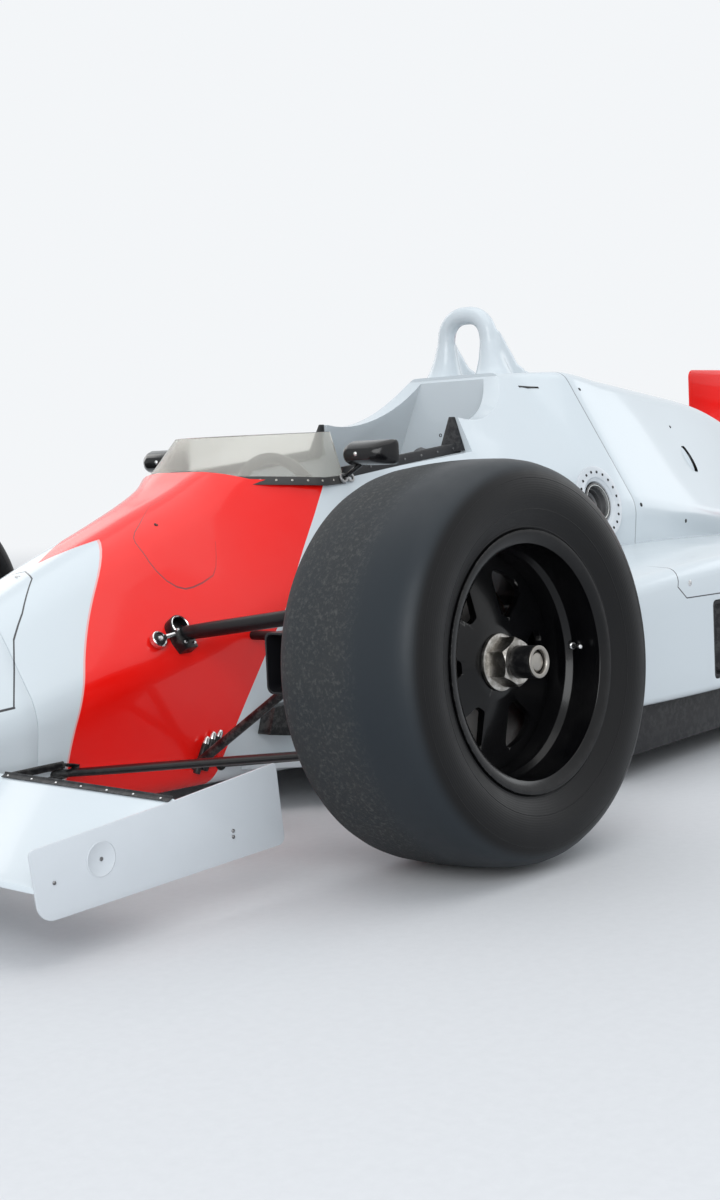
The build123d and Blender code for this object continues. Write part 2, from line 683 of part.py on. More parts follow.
# Each blade's side view: three points of its upper arc, then three of its lower arc
REAR_BLADES = {
    "rear_wing": [(-1650, 700), (-1890, 698), (-2120, 760), (-2122, 752), (-1880, 652), (-1652, 678)],
    "rear_flap": [(-2132, 778), (-2270, 812), (-2390, 872), (-2394, 866), (-2260, 780), (-2136, 756)],
}
blades = {}
for label, points in REAR_BLADES.items():
    with BuildPart() as blade:
        with BuildSketch(side_view(0)):
            with BuildLine():
                ThreePointArc(*points[:3])
                Line(points[2], points[3])
                ThreePointArc(*points[3:])
                Line(points[5], points[0])
            make_face()
        extrude(amount=REAR_PLATE_Y, both=True)
    save(blade.part, label)
    blades[label] = blade.part
with BuildPart() as rear_endplates:
    with BuildSketch(side_view(REAR_PLATE_Y + REAR_PLATE_THICK / 2)):
        with BuildLine():
            FilletPolyline(
                (-2000, 889), (-1593, 889), (-1593, 640), (-1760, 560),
                (TAIL_X, 560), (TAIL_X, 889), (-2100, 889),
                radius=[24, 40, 30, 20, 20],
            )
            Line((-2100, 889), (-2000, 889))
        make_face()
    extrude(amount=REAR_PLATE_THICK / 2, both=True)
    mirror(about=Plane.XZ)
save(rear_endplates.part, "rear_endplates")
POST_OUTLINE = [(-1460, 380), (-1630, 380), (-1930, 680), (-1720, 680)]
POST_Y = 46.0
POST_HALF = 4.0
with BuildPart() as wing_post:
    for y in (-POST_Y, POST_Y):
        with BuildSketch(side_view(y)):
            with BuildLine():
                Polyline(*POST_OUTLINE, close=True)
            make_face()
        extrude(amount=POST_HALF, both=True)
    add(blades["rear_wing"], mode=Mode.SUBTRACT)
    add(gearbox.part, mode=Mode.SUBTRACT)
save(wing_post.part, "wing_post")


def wheel_axes(x, y, z, lean):
    """Profile plane, face plane and spin axis of a left wheel whose top leans in."""
    spin = (0, cos(radians(lean)), sin(radians(lean)))
    centre = (x, y, z)
    return (
        Plane(origin=centre, x_dir=spin, z_dir=(1, 0, 0)),
        Plane(origin=centre, x_dir=(1, 0, 0), z_dir=spin),
        Axis(centre, spin),
    )


BEAD_RADIUS = 190.2
FRONT_RIM_HALF = 127.0
REAR_RIM_HALF = 184.0
# Tyre outlines, columns: distance from the wheel's middle plane, radius. The rear is wider and taller.
FRONT_TYRE = [
    (118.8, BEAD_RADIUS), (120.6, 208), (138, 236), (143, 262),
    (138, 292), (122, 312), (92, 320), (0, 324.5),
]
REAR_TYRE = [
    (175.8, BEAD_RADIUS), (177.6, 208), (191, 236), (197, 264),
    (192, 300), (174, 328), (130, 338), (0, 343),
]
# Wheels, columns: name, x, y, z, lean, half width to the rim's edge, tyre outline
WHEELS = [
    ("front", FRONT_AXLE_X, FRONT_TRACK_Y, FRONT_HUB_Z, FRONT_CAMBER, FRONT_RIM_HALF, FRONT_TYRE),
    ("rear", REAR_AXLE_X, REAR_TRACK_Y, REAR_HUB_Z, 0.0, REAR_RIM_HALF, REAR_TYRE),
]
CARCASS = 12.0
# Places along the axle, measured inwards from the rim's outer edge
FACE_IN = 73.0
SEAT_IN = 87.0
NUT_IN = 66.0
SPINDLE_OUT = 8.0
SPINDLE_RADIUS = 26.0
BELL_RADIUS = 58.0
NUT_FLANGE_RADIUS = 46.5
NUT_RADIUS = 40.0
NUT_HEIGHT = 34.0
SPINDLE_WALL = 7.0
SPINDLE_BORE_DEPTH = 40.0
DISC_RADIUS = 160.0
DISC_IN = 161.0
DISC_THICK = 28.0
DISC_GAP = 3.5
STUB_RADIUS = 30.0
STUB_END = -175.0
# Drive shaft with a joint at each end, columns: from y, to y, radius
SHAFT_STEPS = [(105, 170, 46), (170, 626, 17), (552, 616, 42)]
for name, x, y, z, lean, edge, outline in WHEELS:
    profile_plane, face_plane, spin_axis = wheel_axes(x, y, z, lean)
    bead = outline[0][0]
    carcass = [(bead - CARCASS, BEAD_RADIUS)]
    carcass += [(offset - CARCASS, radius) for offset, radius in outline[2:5]]
    carcass.append((outline[6][0], outline[6][1] - CARCASS))
    with BuildPart() as tyre:
        with BuildSketch(profile_plane):
            with BuildLine():
                Polyline(
                    *outline,
                    *[(-offset, radius) for offset, radius in reversed(outline[:-1])],
                    *[(-offset, radius) for offset, radius in carcass],
                    *reversed(carcass),
                    close=True,
                )
            make_face()
        revolve(axis=spin_axis)
    save(tyre.part, f"tyre_{name}_left")
    mirrored(tyre.part, f"tyre_{name}_right")

    # Rim: a barrel with a lip each side, and a dished face with six windows
    with BuildPart() as rim:
        with BuildSketch(profile_plane):
            with BuildLine():
                Polyline(
                    (edge, FLANGE_RADIUS), (edge - 6, FLANGE_RADIUS), (edge - 8, 190), (8 - edge, 190),
                    (6 - edge, FLANGE_RADIUS), (-edge, FLANGE_RADIUS), (-edge, 194), (6 - edge, 182),
                    (edge - 119, 182), (edge - 117, 174), (edge - SEAT_IN, 58),
                    (edge - SEAT_IN, SPINDLE_RADIUS + RUNNING_FIT),
                    (edge - FACE_IN, SPINDLE_RADIUS + RUNNING_FIT), (edge - FACE_IN, 56),
                    (edge - 103, 174), (edge - 68, 175), (edge - 58, 184), (edge - 6, 184), (edge, 194),
                    close=True,
                )
            make_face()
        revolve(axis=spin_axis)
        with BuildSketch(face_plane.offset(edge - 130)):
            with PolarLocations(0, SPOKE_WINDOWS):
                Polygon(*SPOKE_WINDOW, align=None)
            fillet(vertices(), SPOKE_WINDOW_CORNER)
        extrude(amount=80, mode=Mode.SUBTRACT)
    save(rim.part, f"rim_{name}_left")
    mirrored(rim.part, f"rim_{name}_right")

    # Hub: stub axle, brake disc, bell, spindle and wheel nut. The rear one carries its drive shaft.
    with BuildPart() as hub:
        disc_out = edge - DISC_IN
        disc_in = disc_out - DISC_THICK
        bell_in = disc_in - 6
        with BuildSketch(profile_plane):
            with BuildLine():
                Polyline(
                    (STUB_END, 0), (STUB_END, STUB_RADIUS), (bell_in, STUB_RADIUS), (bell_in, BELL_RADIUS),
                    (disc_in, BELL_RADIUS), (disc_in, DISC_RADIUS), (disc_out, DISC_RADIUS),
                    (disc_out, BELL_RADIUS), (edge - SEAT_IN, BELL_RADIUS), (edge - SEAT_IN, SPINDLE_RADIUS),
                    (edge - FACE_IN, SPINDLE_RADIUS), (edge - FACE_IN, NUT_FLANGE_RADIUS),
                    (edge - NUT_IN, NUT_FLANGE_RADIUS), (edge - NUT_IN, SPINDLE_RADIUS),
                    (edge + SPINDLE_OUT, SPINDLE_RADIUS), (edge + SPINDLE_OUT, 0),
                    close=True,
                )
            make_face()
        revolve(axis=spin_axis)
        with BuildSketch(face_plane.offset(edge - NUT_IN)):
            RegularPolygon(NUT_RADIUS, 6)
        extrude(amount=NUT_HEIGHT)
        with BuildSketch(face_plane.offset(edge + SPINDLE_OUT)):
            Circle(SPINDLE_RADIUS - SPINDLE_WALL)
        extrude(amount=-SPINDLE_BORE_DEPTH, mode=Mode.SUBTRACT)
        if name == "rear":
            for start, end, radius in SHAFT_STEPS:
                strut((x, start, z), (x, end, z), radius)
    save(hub.part, f"hub_{name}_left")
    mirrored(hub.part, f"hub_{name}_right")

# Front uprights: they turn about the kingpin line through both ball joints
kingpin = Vector(0, -sin(radians(FRONT_CAMBER)), cos(radians(FRONT_CAMBER)))
kingpin_middle = Vector(FRONT_AXLE_X, KINGPIN_Y, FRONT_HUB_Z)
upper_joint = kingpin_middle + kingpin * ((BALL_JOINT_HIGH_Z - FRONT_HUB_Z) / kingpin.Z)
lower_joint = kingpin_middle + kingpin * ((BALL_JOINT_LOW_Z - FRONT_HUB_Z) / kingpin.Z)
arm_end = Vector(RACK_X, KINGPIN_Y, TRACK_ROD_Z)
PIN_RADIUS = 8.0
EYE_RADIUS = 17.0
EYE_HALF = 11.0
LUG_GAP = 1.0
ROD_RADIUS = 9.0
LUG_RADIUS = 20.0
ARM_RADIUS = 12.0
ARM_DROP = 36.0
ROD_PIN_RADIUS = 5.0
ROD_EYE_BORE = 10.5
HOUSING_RADIUS = 52.0
HOUSING_IN = -188.0
HOUSING_OUT = -82.0
CALIPER_IN = -84.0
CALIPER_OUT = -12.0
CALIPER_RADIUS = 172.0
CALIPER_INNER = 112.0
CALIPER_START = 152.0
CALIPER_SWEEP = 56.0
BRACKET_INNER = 40.0
BRACKET_THICK = 8.0
DUCT_MOUTH = (1565.0, 612.0, 334.0)
DUCT_SIZE = (95.0, 75.0, 102.0)
DUCT_ROOT = (1402.0, 688.0, FRONT_HUB_Z)
DUCT_NECK = 26.0
DUCT_WALL = 4.0
DUCT_CORNER = 12.0
profile_plane, face_plane, spin_axis = wheel_axes(FRONT_AXLE_X, FRONT_TRACK_Y, FRONT_HUB_Z, FRONT_CAMBER)
with BuildPart() as front_upright_left:
    with BuildSketch(face_plane.offset(HOUSING_IN)):
        Circle(HOUSING_RADIUS)
    extrude(amount=HOUSING_OUT - HOUSING_IN)
    # Lugs that reach to the ball joints
    for joint, way in ((upper_joint, 1), (lower_joint, -1)):
        lug_face = joint - kingpin * (way * (EYE_HALF + LUG_GAP))
        strut(kingpin_middle, lug_face, LUG_RADIUS)
    # Steering arm, with a boss under the track rod's eye
    strut(kingpin_middle, arm_end - Vector(0, 0, ARM_DROP), ARM_RADIUS)
    strut(arm_end - Vector(0, 0, ARM_DROP + ARM_RADIUS), arm_end - Vector(0, 0, EYE_HALF + 6), ARM_RADIUS)
    # Caliper over the rear of the disc, and its bracket
    for low, high, inner in (
        (CALIPER_IN, CALIPER_OUT, CALIPER_INNER),
        (CALIPER_IN - BRACKET_THICK, CALIPER_IN, BRACKET_INNER),
    ):
        with BuildSketch(face_plane.offset(low)):
            with BuildLine():
                outer_arc = CenterArc((0, 0), CALIPER_RADIUS, CALIPER_START, CALIPER_SWEEP)
                inner_arc = CenterArc((0, 0), inner, CALIPER_START, CALIPER_SWEEP)
                Line(outer_arc @ 0, inner_arc @ 0)
                Line(outer_arc @ 1, inner_arc @ 1)
            make_face()
        extrude(amount=high - low)
    with BuildSketch(face_plane.offset(FRONT_RIM_HALF - DISC_IN - DISC_THICK - DISC_GAP)):
        Circle(DISC_RADIUS + DISC_GAP)
    extrude(amount=DISC_THICK + 2 * DISC_GAP, mode=Mode.SUBTRACT)
    # Pins through the wishbones' eyes and the track rod's eye
    for joint, way in ((upper_joint, 1), (lower_joint, -1)):
        strut(joint - kingpin * (way * (EYE_HALF + 3)), joint + kingpin * (way * (EYE_HALF + 5)), PIN_RADIUS)
    strut(arm_end - Vector(0, 0, ARM_DROP), arm_end + Vector(0, 0, EYE_HALF + 6), ROD_PIN_RADIUS)
    # Brake cooling scoop, open to the front, with a neck to the housing
    mouth_plane = Plane(origin=DUCT_MOUTH, x_dir=(0, 1, 0), z_dir=(-1, 0, 0))
    strut((DUCT_MOUTH[0] - DUCT_SIZE[0], DUCT_MOUTH[1] + 10, DUCT_MOUTH[2]), DUCT_ROOT, DUCT_NECK)
    with BuildSketch(mouth_plane):
        RectangleRounded(DUCT_SIZE[1], DUCT_SIZE[2], DUCT_CORNER)
    extrude(amount=DUCT_SIZE[0])
    with BuildSketch(mouth_plane):
        RectangleRounded(DUCT_SIZE[1] - 2 * DUCT_WALL, DUCT_SIZE[2] - 2 * DUCT_WALL, DUCT_CORNER - 3)
    extrude(amount=DUCT_SIZE[0] - 3 * DUCT_WALL, mode=Mode.SUBTRACT)
    # Bearing bore
    with BuildSketch(face_plane.offset(STUB_END - 1)):
        Circle(STUB_RADIUS + RUNNING_FIT)
    extrude(amount=HOUSING_OUT - STUB_END + 30, mode=Mode.SUBTRACT)
save(front_upright_left.part, "front_upright_left")
mirrored(front_upright_left.part, "front_upright_right")

# Front wishbones: two legs from the tub to each ball joint, and a rod from the upper one down to the tub
LEG_RADIUS = 9.5
# Columns: joint, inner ends of its two legs
FRONT_WISHBONES = [
    (upper_joint, (1427, 190, 348), (1130, 225, 360)),
    (lower_joint, (1707, 180, 138), (1340, 185, 96)),
]
PULL_ROD = ((1402, 190, 92), (1375, 655, 398))
PULL_ROD_RADIUS = 7.0
with BuildPart() as front_wishbones_left:
    for joint, front_foot, rear_foot in FRONT_WISHBONES:
        strut(joint - kingpin * EYE_HALF, joint + kingpin * EYE_HALF, EYE_RADIUS)
        for foot in (front_foot, rear_foot):
            strut(foot, joint, LEG_RADIUS)
    strut(*PULL_ROD, PULL_ROD_RADIUS)
    for joint, front_foot, rear_foot in FRONT_WISHBONES:
        span = kingpin * (EYE_HALF + 20)
        strut(joint - span, joint + span, PIN_RADIUS + RUNNING_FIT, Mode.SUBTRACT)
    add(tub_core.part, mode=Mode.SUBTRACT)
save(front_wishbones_left.part, "front_wishbones_left")
mirrored(front_wishbones_left.part, "front_wishbones_right")

# Steering rack bar and track rods in one, an eye at each end
with BuildPart() as track_rods:
    rod_end = KINGPIN_Y - EYE_RADIUS + 3
    strut((RACK_X, -rod_end, TRACK_ROD_Z), (RACK_X, rod_end, TRACK_ROD_Z), ROD_RADIUS)
    for side in (1, -1):
        middle = Vector(RACK_X, side * KINGPIN_Y, TRACK_ROD_Z)
        strut(middle - Vector(0, 0, EYE_HALF), middle + Vector(0, 0, EYE_HALF), EYE_RADIUS)
        strut(middle - Vector(0, 0, 20), middle + Vector(0, 0, 20), ROD_EYE_BORE, Mode.SUBTRACT)
save(track_rods.part, "track_rods")

# Rear suspension: upright, wishbones and damper on each side of the gearbox
REAR_UPPER_JOINT = Vector(REAR_AXLE_X, 636, 478)
REAR_LOWER_JOINT = Vector(REAR_AXLE_X, 644, 200)
# Columns: joint, inner ends of its legs
REAR_WISHBONES = [
    (REAR_UPPER_JOINT, (-1250, 70, 425), (-1610, 60, 392)),
    (REAR_LOWER_JOINT, (-1200, 70, 200), (-1620, 60, 200)),
]
REAR_HOUSING_IN = -172.0
REAR_HOUSING_LENGTH = 110.0
REAR_JOINT_RADIUS = 22.0
DAMPER_TOP = (-1180, 60, 420)
DAMPER_FOOT = REAR_LOWER_JOINT - Vector(0, 30, 0)
DAMPER_ROD_RADIUS = 8.0
profile_plane, face_plane, spin_axis = wheel_axes(REAR_AXLE_X, REAR_TRACK_Y, REAR_HUB_Z, 0)
with BuildPart() as rear_suspension_left:
    with BuildSketch(face_plane.offset(REAR_HOUSING_IN)):
        Circle(HOUSING_RADIUS)
    extrude(amount=REAR_HOUSING_LENGTH)
    for joint, *feet in REAR_WISHBONES:
        strut((REAR_AXLE_X, joint.Y + 12, REAR_HUB_Z), joint, LUG_RADIUS)
        with Locations(Location(joint)):
            Sphere(REAR_JOINT_RADIUS)
        for foot in feet:
            strut(foot, joint, LEG_RADIUS)
    strut(DAMPER_TOP, DAMPER_FOOT, DAMPER_ROD_RADIUS)
    with BuildSketch(face_plane.offset(2 * REAR_HOUSING_IN)):
        Circle(STUB_RADIUS + RUNNING_FIT)
    extrude(amount=-2 * REAR_HOUSING_IN, mode=Mode.SUBTRACT)
    add(gearbox.part, mode=Mode.SUBTRACT)
save(rear_suspension_left.part, "rear_suspension_left")
mirrored(rear_suspension_left.part, "rear_suspension_right")
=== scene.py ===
from math import atan2, cos, hypot, pi, radians, sin

import bpy
from mathutils import Matrix, Vector


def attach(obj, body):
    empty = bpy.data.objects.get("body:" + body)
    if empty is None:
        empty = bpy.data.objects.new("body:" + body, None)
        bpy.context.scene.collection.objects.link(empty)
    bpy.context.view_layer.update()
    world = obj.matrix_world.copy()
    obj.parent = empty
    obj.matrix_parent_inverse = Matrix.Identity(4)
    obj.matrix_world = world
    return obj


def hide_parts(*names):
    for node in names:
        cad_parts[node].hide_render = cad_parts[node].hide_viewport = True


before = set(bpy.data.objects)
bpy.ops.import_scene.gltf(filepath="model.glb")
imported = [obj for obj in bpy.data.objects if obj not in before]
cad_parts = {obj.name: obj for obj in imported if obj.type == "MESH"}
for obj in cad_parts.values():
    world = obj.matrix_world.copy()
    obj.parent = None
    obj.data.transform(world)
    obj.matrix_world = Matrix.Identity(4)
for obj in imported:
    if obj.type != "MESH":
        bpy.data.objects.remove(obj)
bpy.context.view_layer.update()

# All places are in metres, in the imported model's frame: +X the nose, +Y the car's left, +Z up.
FRONT_AXLE_X = 1.375
REAR_AXLE_X = -1.470
NOSE_X = 2.425
NOSE_JOINT_X = 1.740
COVER_JOINT_X = 0.175
COVER_END_X = -1.010
LEAN = radians(3.3)
SIDES = [("left", 1), ("right", -1)]
# Wheels, columns: name, hub, lean, half width to the rim's edge
WHEELS = [
    ("front", Vector((FRONT_AXLE_X, 0.852, 0.325)), LEAN, 0.127),
    ("rear", Vector((REAR_AXLE_X, 0.800, 0.343)), 0.0, 0.184),
]

# Camera, at the photograph's place
CAMERA_PLACE = (3.5717, 2.6110, 0.6731)
CAMERA_RIGHT = (-0.66883795, 0.74204923, -0.04493048)
CAMERA_UP = (-0.09311858, -0.02366233, 0.99537381)
CAMERA_AHEAD = (-0.73755321, -0.66992764, -0.08492484)
LENS_MM = 52.9

# Body sections, columns: x, foot half width and height, side the same, top the same, radii of the three
BODY = [
    (2.425, 0.062, 0.112, 0.074, 0.134, 0.040, 0.166, 0.012, 0.012, 0.018),
    (2.330, 0.092, 0.084, 0.112, 0.145, 0.052, 0.216, 0.024, 0.030, 0.042),
    (2.150, 0.118, 0.072, 0.142, 0.180, 0.062, 0.282, 0.030, 0.060, 0.072),
    (1.950, 0.146, 0.066, 0.172, 0.214, 0.072, 0.345, 0.034, 0.080, 0.094),
    (1.740, 0.174, 0.060, 0.197, 0.250, 0.080, 0.420, 0.036, 0.100, 0.112),
    (1.557, 0.192, 0.060, 0.213, 0.290, 0.084, 0.498, 0.036, 0.110, 0.122),
    (1.394, 0.206, 0.060, 0.226, 0.325, 0.090, 0.563, 0.036, 0.110, 0.126),
    (1.240, 0.230, 0.060, 0.247, 0.370, 0.112, 0.628, 0.036, 0.110, 0.117),
    (1.045, 0.262, 0.060, 0.281, 0.440, 0.190, 0.760, 0.036, 0.110, 0.060),
    (0.815, 0.290, 0.060, 0.300, 0.470, 0.168, 0.800, 0.036, 0.110, 0.050),
    (0.583, 0.310, 0.060, 0.322, 0.490, 0.150, 0.850, 0.036, 0.110, 0.044),
    (0.400, 0.330, 0.060, 0.354, 0.505, 0.128, 0.836, 0.036, 0.100, 0.034),
    (0.290, 0.345, 0.060, 0.380, 0.515, 0.127, 0.834, 0.036, 0.090, 0.034),
    (0.175, 0.350, 0.060, 0.388, 0.520, 0.196, 0.834, 0.036, 0.080, 0.050),
    (0.000, 0.350, 0.100, 0.382, 0.500, 0.190, 0.812, 0.036, 0.080, 0.060),
    (-0.250, 0.330, 0.110, 0.352, 0.470, 0.160, 0.785, 0.036, 0.080, 0.070),
    (-0.520, 0.280, 0.130, 0.300, 0.440, 0.128, 0.752, 0.036, 0.080, 0.070),
    (-0.760, 0.220, 0.170, 0.240, 0.400, 0.096, 0.690, 0.030, 0.070, 0.060),
    (-1.010, 0.160, 0.220, 0.176, 0.370, 0.060, 0.560, 0.024, 0.050, 0.040),
]
# Sidepods, columns: x, outer half width, foot height, shoulder height, crease height
PODS = [
    (0.775, 0.690, 0.150, 0.380, 0.420),
    (0.690, 0.718, 0.146, 0.392, 0.430),
    (0.413, 0.721, 0.143, 0.414, 0.437),
    (0.150, 0.721, 0.143, 0.424, 0.438),
    (-0.200, 0.712, 0.146, 0.420, 0.430),
    (-0.500, 0.640, 0.156, 0.392, 0.400),
    (-0.760, 0.520, 0.180, 0.350, 0.356),
    (-0.950, 0.390, 0.220, 0.300, 0.306),
]
POD_ROOT_Y = 0.220
POD_WALL = 0.006
# The tub's cut away side view: screen foot, cockpit rim, fin, and the sweep up to the hoop
RIM = [(1.214, 0.644), (1.174, 0.626), (1.046, 0.611), (0.815, 0.636), (0.583, 0.658)]
SWEEP = [(0.583, 0.733), (0.430, 0.750), (0.341, 0.827)]
# Cockpit space, columns: x, half width and height of its floor, its side and its open top
COCKPIT = [
    (1.060, 0.200, 0.090, 0.250, 0.440, 0.150, 0.900),
    (0.815, 0.235, 0.090, 0.268, 0.470, 0.146, 0.900),
    (0.583, 0.240, 0.120, 0.284, 0.490, 0.110, 0.900),
    (0.345, 0.150, 0.330, 0.230, 0.520, 0.058, 0.900),
]
FILLER = Vector((0.317, 0.366, 0.530))
FILLER_AXIS = Vector((0, cos(radians(13)), sin(radians(13))))


def deselect():
    """Leaves nothing selected, in object mode."""
    if bpy.context.object and bpy.context.object.mode != "OBJECT":
        bpy.ops.object.mode_set(mode="OBJECT")
    bpy.ops.object.select_all(action="DESELECT")


def pick(*pieces):
    """Selects these pieces alone, the last one active."""
    deselect()
    for piece in pieces:
        piece.select_set(True)
    bpy.context.view_layer.objects.active = pieces[-1]


def edit(piece):
    """Opens a piece in edit mode with all of it selected."""
    pick(piece)
    bpy.ops.object.mode_set(mode="EDIT")
    bpy.ops.mesh.select_all(action="SELECT")


def close_edit(merge=1e-5, turn=True):
    """Merges doubles, turns the faces outwards and leaves edit mode."""
    bpy.ops.mesh.select_all(action="SELECT")
    bpy.ops.mesh.remove_doubles(threshold=merge)
    bpy.ops.mesh.dissolve_degenerate(threshold=1e-6)
    bpy.ops.mesh.select_all(action="SELECT")
    if turn:
        bpy.ops.mesh.normals_make_consistent(inside=False)
    bpy.ops.object.mode_set(mode="OBJECT")


def outline(points, filled=False):
    """A closed outline: a circle with a corner for each point, its corners drawn out to them."""
    deselect()
    fill = "NGON" if filled else "NOTHING"
    bpy.ops.mesh.primitive_circle_add(vertices=len(points), radius=0.1, fill_type=fill)
    piece = bpy.context.object
    for vertex, point in zip(piece.data.vertices, points):
        vertex.co = point
    return piece


def slab(points, depth):
    """A flat filled outline, extruded by a vector."""
    piece = outline(points, filled=True)
    edit(piece)
    bpy.ops.mesh.extrude_region_move(TRANSFORM_OT_translate={"value": tuple(depth)})
    close_edit()
    return piece


def lathe(profile, centre, axis, steps=64):
    """A closed profile, as distances along the axis and radii, spun once round it."""
    along = Vector(axis).normalized()
    out = along.orthogonal().normalized()
    piece = outline([Vector(centre) + along * a + out * r for a, r in profile])
    edit(piece)
    bpy.ops.mesh.spin(steps=steps, angle=2 * pi, center=tuple(centre), axis=tuple(along))
    close_edit()
    return piece


def drum(start, end, radius, centre, axis, steps):
    """A plain cylinder between two distances along an axis."""
    return lathe([(start, 0), (start, radius), (end, radius), (end, 0)], centre, axis, steps)


def tube(start, end, inner, outer, centre, axis, steps):
    """A plain hollow cylinder between two distances along an axis."""
    return lathe([(start, inner), (start, outer), (end, outer), (end, inner)], centre, axis, steps)


def skin(rings, closed=True, capped=True):
    """A skin through rings of points: a grid is added and its rows are laid on the rings."""
    count = len(rings[0])
    deselect()
    columns = count if closed else count - 1
    bpy.ops.mesh.primitive_grid_add(x_subdivisions=columns, y_subdivisions=len(rings) - 1, size=1)
    piece = bpy.context.object
    for k, vertex in enumerate(piece.data.vertices):
        ring, corner = divmod(k, columns + 1)
        vertex.co = rings[ring][corner % count]
    edit(piece)
    if capped:
        bpy.ops.mesh.remove_doubles(threshold=1e-6)
        bpy.ops.mesh.select_all(action="DESELECT")
        bpy.ops.mesh.select_mode(type="EDGE")
        bpy.ops.mesh.select_non_manifold()
        bpy.ops.mesh.edge_face_add()
        bpy.ops.mesh.fill_holes(sides=0)
        bpy.ops.mesh.select_mode(type="VERT")
    close_edit(merge=1e-6)
    return piece


def pipe(points, radius, order=3, ends=True, resolution=6):
    """A round pipe along a smooth path through the neighbourhood of its points."""
    deselect()
    bpy.ops.curve.primitive_nurbs_path_add()
    piece = bpy.context.object
    curve = piece.data
    curve.splines.remove(curve.splines[0])
    spline = curve.splines.new("NURBS")
    spline.points.add(len(points) - 1)
    for corner, point in zip(spline.points, points):
        corner.co = (*point, 1)
    spline.order_u = order
    spline.use_endpoint_u = True
    spline.resolution_u = resolution
    curve.bevel_depth = radius
    curve.bevel_resolution = 3
    curve.use_fill_caps = ends
    curve.twist_mode = "MINIMUM"
    pick(piece)
    bpy.ops.object.convert(target="MESH")
    piece = bpy.context.object
    edit(piece)
    close_edit(merge=1e-6)
    return piece


def weld(*pieces):
    """Several meshes made one piece."""
    pick(*pieces)
    bpy.ops.object.join()
    return bpy.context.object


def modify(piece, kind, **settings):
    """Adds a modifier and applies it at once."""
    pick(piece)
    modifier = piece.modifiers.new(kind.lower(), kind)
    for key, value in settings.items():
        setattr(modifier, key, value)
    bpy.ops.object.modifier_apply(modifier=modifier.name)
    return piece


def carve(piece, cutter, operation="DIFFERENCE", keep=False):
    """Cuts one mesh with another, which is then removed."""
    modify(piece, "BOOLEAN", object=cutter, operation=operation, solver="EXACT")
    if not keep:
        bpy.data.objects.remove(cutter)
    return piece


def twin(piece):
    """A copy of a piece with its own mesh."""
    copy = piece.copy()
    copy.data = piece.data.copy()
    bpy.context.collection.objects.link(copy)
    return copy


def round_edges(piece, width, segments, angle, spare):
    """Bevels the sharp edges, but for those whose middle is where spare says."""
    edit(piece)
    bpy.ops.mesh.select_all(action="DESELECT")
    bpy.ops.mesh.select_mode(type="EDGE")
    bpy.ops.mesh.edges_select_sharp(sharpness=radians(angle))
    bpy.ops.object.mode_set(mode="OBJECT")
    corners = piece.data.vertices
    for line in piece.data.edges:
        if line.select and spare((corners[line.vertices[0]].co + corners[line.vertices[1]].co) / 2):
            line.select = False
    bpy.ops.object.mode_set(mode="EDIT")
    bpy.ops.mesh.bevel(offset=width, segments=segments, affect="EDGES", clamp_overlap=True)
    bpy.ops.mesh.select_mode(type="VERT")
    bpy.ops.object.mode_set(mode="OBJECT")


def dress(piece, name, material, bevel=0.0, segments=2, angle=35, stands_for=(), body="root"):
    """Finishes a piece, or several as one: edges are rounded, then it gets name, body and finish."""
    if isinstance(piece, list):
        piece = weld(*piece)
    pick(piece)
    bpy.ops.object.transform_apply(location=True, rotation=True, scale=True)
    if bevel:
        modify(
            piece, "BEVEL", width=bevel, segments=segments, limit_method="ANGLE", angle_limit=radians(angle),
            use_clamp_overlap=True, harden_normals=False
        )
    pick(piece)
    bpy.ops.object.shade_smooth_by_angle(angle=radians(angle))
    piece.name = name
    piece.data.name = name
    piece.data.materials.clear()
    piece.data.materials.append(material)
    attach(piece, body)
    if stands_for:
        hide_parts(*stands_for)
    return piece


def smooth_node(node, material, body="root", angle=28, rounding=0.0):
    """A merged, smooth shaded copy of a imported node, which stands for it. rounding bevels its edges."""
    piece = twin(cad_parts[node])
    edit(piece)
    close_edit(merge=2e-5, turn=False)
    if rounding:
        edit(piece)
        bpy.ops.mesh.dissolve_limited(angle_limit=radians(0.5))
        bpy.ops.object.mode_set(mode="OBJECT")
    return dress(piece, f"{node}_skin", material, rounding, angle=angle, stands_for=(node,), body=body)


def eased(table, x):
    """The table's row at x, each column eased between its rows with no overshoot."""
    rows = sorted(table)
    k = max(i for i in range(len(rows) - 1) if rows[i][0] <= x + 1e-6)
    values = []
    for column in range(1, len(rows[0])):
        runs = [b[0] - a[0] for a, b in zip(rows, rows[1:])]
        grades = [(b[column] - a[column]) / run for a, b, run in zip(rows, rows[1:], runs)]
        slopes = [grades[0]]
        for before, after in zip(grades, grades[1:]):
            slopes.append(0.0 if before * after <= 0 else 2 * before * after / (before + after))
        slopes.append(grades[-1])
        t = (x - rows[k][0]) / runs[k]
        start, end = rows[k][column], rows[k + 1][column]
        values.append(
            start * (1 + 2 * t) * (1 - t) ** 2
            + end * t * t * (3 - 2 * t)
            + runs[k] * (slopes[k] * t * (1 - t) ** 2 - slopes[k + 1] * t * t * (1 - t))
        )
    return values


